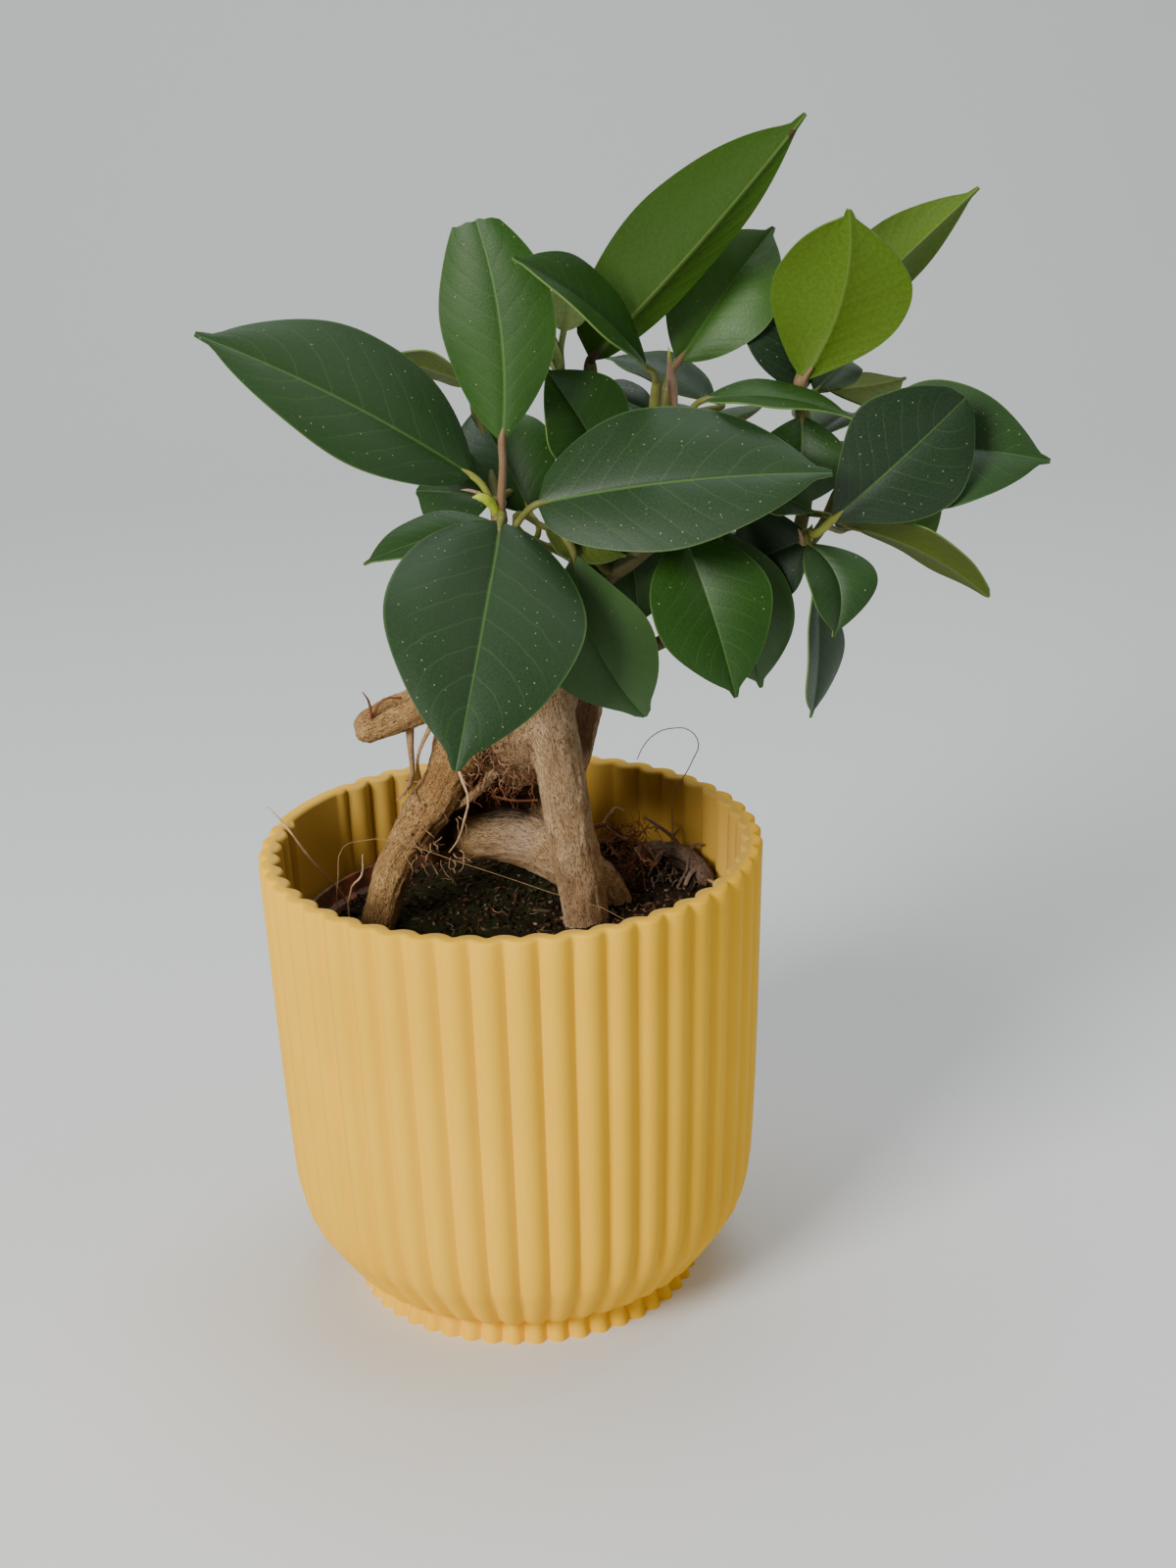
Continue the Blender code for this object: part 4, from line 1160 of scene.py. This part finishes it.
def paleDots(facts):
    # the small cream pores of the upper side, thickest towards the edge
    inputs = {"Vector": facts["place"], "Scale": 31.0}
    cells = addNode(facts["place"], "TexVoronoi", inputs, voronoi_dimensions="2D").outputs
    draws = addNode(facts["place"], "SeparateXYZ", {0: cells["Color"]}).outputs
    dot = stepOf(mathOf("DIVIDE", cells["Distance"], plus(times(draws[1], 0.03), 0.042)), 1.15, 0.75)
    dot = times(dot, mathOf("GREATER_THAN", draws[0], plus(times(facts["tone"], 0.32), 0.6)))
    return times(dot, times(stepOf(facts["across"], 0.2, 0.55), stepOf(facts["across"], 0.96, 0.9)))


def leafTopPaint():
    material, shader = newMaterial("leafTop", (0.03, 0.08, 0.02), 0.45, Specular_IOR_Level=0.3)
    facts = leafFacts(shader, "leafToneAndLight")
    rib, vein, pillow = ribAndVeins(facts)
    shade = plus(facts["tone"], times(minus(noiseOf(facts["place"], 5), 0.5), 0.14))
    # the last stop, a pale greyish green, is painted light for leaves lying in shade
    color = rampOf(shade, [
        (0.0, (0.010, 0.024, 0.011)), (0.2, (0.019, 0.051, 0.013)), (0.5, (0.017, 0.062, 0.005)),
        (0.7, (0.012, 0.052, 0.001)), (0.84, (0.036, 0.105, 0.006)), (1.0, (0.060, 0.115, 0.045))])
    mottle = noiseOf(facts["place"], 150, 5, 0.7)
    dot = paleDots(facts)
    feed(shader, "Base Color", layered(color, [
        (stepOf(mottle, 0.38, 0.68), 0.3, (0.035, 0.085, 0.018)), (vein, 0.16, (0.09, 0.17, 0.05)),
        (rib, 0.5, (0.09, 0.19, 0.038)), (dot, 0.6, (0.32, 0.40, 0.19)),
        (stepOf(facts["across"], 0.968, 0.996), 0.4, (0.10, 0.19, 0.045)),
        (facts["spot"], 0.85, (0.05, 0.028, 0.01))]))
    feed(shader, "Roughness", spreadOf(mottle, 0.35, 0.54, 0.3, 0.7))
    relief = plus(times(pillow, 0.13), times(mottle, 0.5))
    bumpFrom(shader, plus(relief, times(dot, 0.5)), 0.6, 0.25)
    return material


def leafUnderPaint():
    material, shader = newMaterial("leafUnder", (0.10, 0.17, 0.03), 0.62, Specular_IOR_Level=0.18)
    facts = leafFacts(shader, "underToneAndLight")
    rib, vein, pillow = ribAndVeins(facts)
    mottle = noiseOf(facts["place"], 100, 4, 0.65)
    # the pale stop at .75 is painted light for the small undersides at the middle hub that lie in shade
    color = rampOf(facts["tone"], [
        (0.0, (0.032, 0.058, 0.018)), (0.2, (0.045, 0.066, 0.008)), (0.4, (0.10, 0.135, 0.016)),
        (0.6, (0.027, 0.073, 0.001)), (0.75, (0.42, 0.56, 0.19)), (1.0, (0.084, 0.155, 0.010))])
    color = layered(color, [(stepOf(mottle, 0.62, 0.38), 0.35, mixColors(0.55, color, (0.0, 0.02, 0.0)))])
    feed(shader, "Base Color", layered(color, [
        (vein, 0.3, mixColors(0.35, color, (0.02, 0.05, 0.0))), (rib, 0.32, (0.17, 0.25, 0.06)),
        (facts["spot"], 0.85, (0.05, 0.025, 0.008))]))
    bumpFrom(shader, minus(times(mottle, 0.5), times(pillow, 0.6)), 0.4, 0.2)
    return material


def leafEdgePaint():
    material, shader = newMaterial("leafEdge", (0.15, 0.24, 0.05), 0.5, Specular_IOR_Level=0.3)
    grain = noiseOf(objectPlace(shader), 400)
    feed(shader, "Base Color", mixColors(grain, (0.06, 0.13, 0.02), (0.14, 0.23, 0.05)))
    return material


def stemPaint():
    material, shader = newMaterial("stemSkin", (0.2, 0.2, 0.06), 0.55, Specular_IOR_Level=0.35)
    own = stored(shader, "skinColor", "Color")
    grain = noiseOf(objectPlace(shader), 420, 4, 0.65)
    feed(shader, "Base Color", layered(own, [
        (stepOf(grain, 0.45, 0.7), 0.5, mixColors(0.6, own, (0.09, 0.05, 0.02))),
        (stepOf(grain, 0.42, 0.25), 0.4, (0.33, 0.30, 0.13))]))
    bumpFrom(shader, grain, 0.5, 0.25)
    return material


leafPaints = [leafTopPaint(), leafUnderPaint(), leafEdgePaint()]
stemSkin = stemPaint()
for stemName in stemRoutes:
    leafyStem = makeLeafyStem(stemName)
    finishPiece(leafyStem, "ficus_leaf", "leafy_stem_" + stemName)


# Hair roots, twigs and loose fibres: some placed as seen, the rest seeded curls

hairColors = {"cream": (0.62, 0.42, 0.24), "tan": (0.36, 0.22, 0.11), "reddish": (0.20, 0.075, 0.035),
              "greyBrown": (0.19, 0.13, 0.095), "dark": (0.05, 0.024, 0.013)}
placedHairs = [
    ("cream", [(-68.5, 20, 137, .2), (-64.5, 17, 133.6, .3), (-59, 14, 126, .34), (-53.5, 18, 116, .32),
               (-50.4, 23, 109.5, .3), (-49, 29, 103, .25)]),
    ("tan", [(46, 36, 107, .2), (47.5, 35, 118, .18), (47.9, 34, 129.7, .17), (51.7, 34, 136.2, .16),
             (53.8, 34, 140.4, .16), (55.5, 34, 145.1, .16), (52.8, 34, 149.5, .15), (48.5, 34, 150.3, .15),
             (43.4, 34, 149, .15), (39.4, 34, 145, .14), (37.6, 34, 141.1, .12)]),
    ("tan", [(-49, 6, 100, .15), (-49.5, 3, 112, .14), (-48.5, 0, 122.8, .12), (-46.9, 4, 129.9, .11),
             (-41.4, 6, 130.9, .11), (-32.6, -3, 134, .1), (-14, -12, 130.5, .09), (9.8, -14, 121.4, .09),
             (31, -18, 113.3, .09), (37, -20, 105.5, .08)]),
    ("cream", [(-41.8, 8, 125.9, .25), (-42.5, 8, 119.4, .36), (-45.4, 8, 116.2, .34), (-47, 9, 101, .25)]),
    ("cream", [(-14.5, -3, 158, .42), (-12.4, -8, 152.8, .42), (-11, -9, 147.9, .38),
               (-12.3, -8, 141.9, .34), (-14.4, -5, 134.5, .28), (-17.2, -2, 129.5, .2)]),
    ("reddish", [(-36, -8, 171.5, .5), (-36.3, -12, 178.4, .32), (-37.6, -14, 181.6, .14)]),
    ("reddish", [(-35.6, -8, 172, .45), (-32.2, -10, 177.8, .34), (-27.5, -8, 177.3, .3)]),
    ("tan", [(-26, -3, 168.5, 1.3), (-26.1, -4, 162, .95), (-26, -3, 157, .75), (-26.3, -2, 152, .7),
             (-27.4, 0, 148.6, .55), (-31, 4, 143.5, .25)]),
    ("tan", [(-20.6, -4, 167, .8), (-23.6, -4, 161, .55), (-24.6, -2, 156, .5), (-24.2, 0, 151, .5)]),
    ("dark", [(-15, 16, 121, .6), (-17.5, 14, 117, .45), (-16, 13, 113, .3)]),
    ("dark", [(-20, 16, 132, .6), (-22, 14, 127, .5), (-20, 13, 121, .45), (-23, 13, 115, .3)]),
    ("tan", [(-17, 14, 133, .5), (-21, 11, 130, .4), (-23, 10, 124, .35), (-21, 10, 118, .25)]),
    ("dark", [(-18, 17, 124, .8), (-22, 12, 124, .7), (-27, 8, 126, .7)]),
    ("tan", [(-2, 1, 153.5, 1.7), (-5.5, 0, 149.8, 1.5), (-10.5, 1, 144.5, 1.3), (-15, 4, 140.5, 1)]),
    ("reddish", [(-5, 3, 144, .35), (1, 1, 143, .4), (8, 1, 142.7, .35)]),
    ("reddish", [(20, 8, 129, .9), (26.6, 14, 129.4, .6), (30.3, 16, 126.6, .5), (32.8, 16, 123.5, .45),
                 (35.1, 16, 120.4, .4), (37, 16, 115.9, .3), (38, 16, 108, .2)]),
    ("cream", [(26, 14, 129.2, .4), (28.5, 15, 132.3, .36), (30.3, 16, 133.5, .32), (32.6, 16, 132.5, .2)]),
    ("cream", [(33.5, 16, 122, .36), (35.5, 16, 120.3, .36), (37.9, 16, 116.8, .34), (39.5, 16, 117.1, .2)]),
    ("tan", [(27, 14, 129, .6), (31, 15, 125, .55), (35, 17, 122.5, .45), (39, 20, 119, .4),
             (42, 22, 113, .3)]),
    ("greyBrown", [(39.4, 34, 123, .4), (42.5, 34, 120.7, .5), (47.3, 34, 116.5, .6), (49.6, 33, 113.2, .7),
                   (50.5, 30, 111.5, .9)]),
    ("greyBrown", [(47.3, 34, 116.5, .5), (49.4, 34, 118.8, .28)]),
    ("greyBrown", [(43.4, 34, 119.9, .4), (42.2, 34, 118.4, .2)]),
    ("greyBrown", [(54, 20, 112, .9), (51, 16, 112, .7), (48.5, 12, 108, .5)]),
    ("greyBrown", [(41, 36, 112, .5), (48, 29, 114.8, .6), (51, 22, 113.6, .5), (47, 13, 109, .3)]),
    ("dark", [(40, 33, 110.5, .4), (46.5, 27.5, 113, .5), (50.5, 20, 112.4, .4), (54, 10, 107, .3)]),
    ("greyBrown", [(51, 27, 113.5, .8), (53.5, 28, 116, .5), (56, 27, 116.5, .25)]),
    ("greyBrown", [(46, 33, 112.5, .8), (42.5, 27, 113.5, .6), (39, 23, 108, .4)]),
    ("tan", [(55.5, 16, 110, .8), (58, 11, 110.5, .5), (59, 7, 108, .3)]),
]
curls = {
    "seed": 5, "step": 1.3, "turn": 1.15,
    "groups": [
        {"color": "tan", "count": 120, "low": (-14, -5, 151.5), "high": (9, -1, 166),
         "drift": (0, .06, -.2), "steps": (3, 8)},
        {"color": "reddish", "count": 90, "low": (-11, -4, 148), "high": (9, 1, 164),
         "drift": (0, .04, -.25), "steps": (4, 10)},
        {"color": "dark", "count": 60, "low": (-10, 3, 143), "high": (8, 9, 156),
         "drift": (0, 0, -.1), "steps": (3, 7)},
        {"color": "tan", "count": 40, "low": (-30, -3, 124), "high": (-14, 4, 152),
         "drift": (.1, -.05, -.5), "steps": (3, 7)},
        {"color": "reddish", "count": 90, "low": (27, 12, 114), "high": (40, 20, 129),
         "drift": (.1, 0, -.1), "steps": (3, 8)},
        {"color": "greyBrown", "count": 55, "low": (40, 14, 109), "high": (57, 36, 113),
         "drift": (0, -.1, -.15), "steps": (3, 6)},
    ],
    "radii": (0.11, 0.26), "taper": 0.7,
    "soilCount": 150, "soilColors": ("tan", "reddish", "greyBrown", "dark"),
    "soilThin": 0.6, "soilReach": 54, "soilSteps": (3, 8), "soilLift": (0.1, 0.9),
}


def curlRoute(rng, start, heading, drift, steps, rest=None):
    place = Vector(start)
    radius = rng.uniform(*curls["radii"]) * (curls["soilThin"] if rest else 1)
    route = []
    for i in range(steps + 1):
        height = rest(place.x, place.y) if rest else place.z
        route.append((place.x, place.y, height, radius * (1 - curls["taper"] * i / steps)))
        turned = Vector((rng.uniform(-1, 1), rng.uniform(-1, 1), rng.uniform(-1, 1))) * curls["turn"]
        heading = (heading + turned + Vector(drift)).normalized()
        place = place + heading * curls["step"]
    return route


def makeHairs():
    rng = random.Random(curls["seed"])
    routes = {name: [] for name in hairColors}
    for color, route in placedHairs:
        routes[color].append(route)
    for group in curls["groups"]:
        for _ in range(group["count"]):
            start = [rng.uniform(a, b) for a, b in zip(group["low"], group["high"])]
            heading = Vector((rng.uniform(-1, 1), rng.uniform(-1, 0.3), rng.uniform(-1, 0.4)))
            steps = rng.randint(*group["steps"])
            routes[group["color"]].append(curlRoute(rng, start, heading, group["drift"], steps))
    for _ in range(curls["soilCount"]):
        angle, distance = rng.uniform(0, 2 * math.pi), curls["soilReach"] * math.sqrt(rng.random())
        start = (distance * math.cos(angle), distance * math.sin(angle), 0)
        heading = Vector((rng.uniform(-1, 1), rng.uniform(-1, 1), 0))
        lift = rng.uniform(*curls["soilLift"])
        steps = rng.randint(*curls["soilSteps"])
        route = curlRoute(rng, start, heading, (0, 0, 0), steps, lambda x, y: soilTop(x, y) + lift)
        routes[rng.choice(curls["soilColors"])].append(route)
    pieces = []
    for color, group in routes.items():
        tube = makeTubes(color + "Hairs", group, sides=6, steps=3)
        usePaint(tube, hairPaint)
        storeColor(tube, "skinColor", [hairColors[color]] * len(tube.data.vertices))
        pieces.append(tube)
    joined = joinAs("hairRoots", pieces)
    smoothShade(joined, 60)
    return joined


def rootletPaint():
    material, shader = newMaterial("rootlets", hairColors["tan"], 0.75, Specular_IOR_Level=0.2)
    own = stored(shader, "skinColor", "Color")
    grain = noiseOf(objectPlace(shader), 700, 3, 0.6)
    darker = mixColors(0.65, own, hairColors["dark"])
    feed(shader, "Base Color", layered(own, [(stepOf(grain, 0.42, 0.65), 0.5, darker)]))
    bumpFrom(shader, grain, 0.5, 0.15)
    return material


hairPaint = rootletPaint()
hairRoots = makeHairs()
finishPiece(hairRoots, "pale_bark")
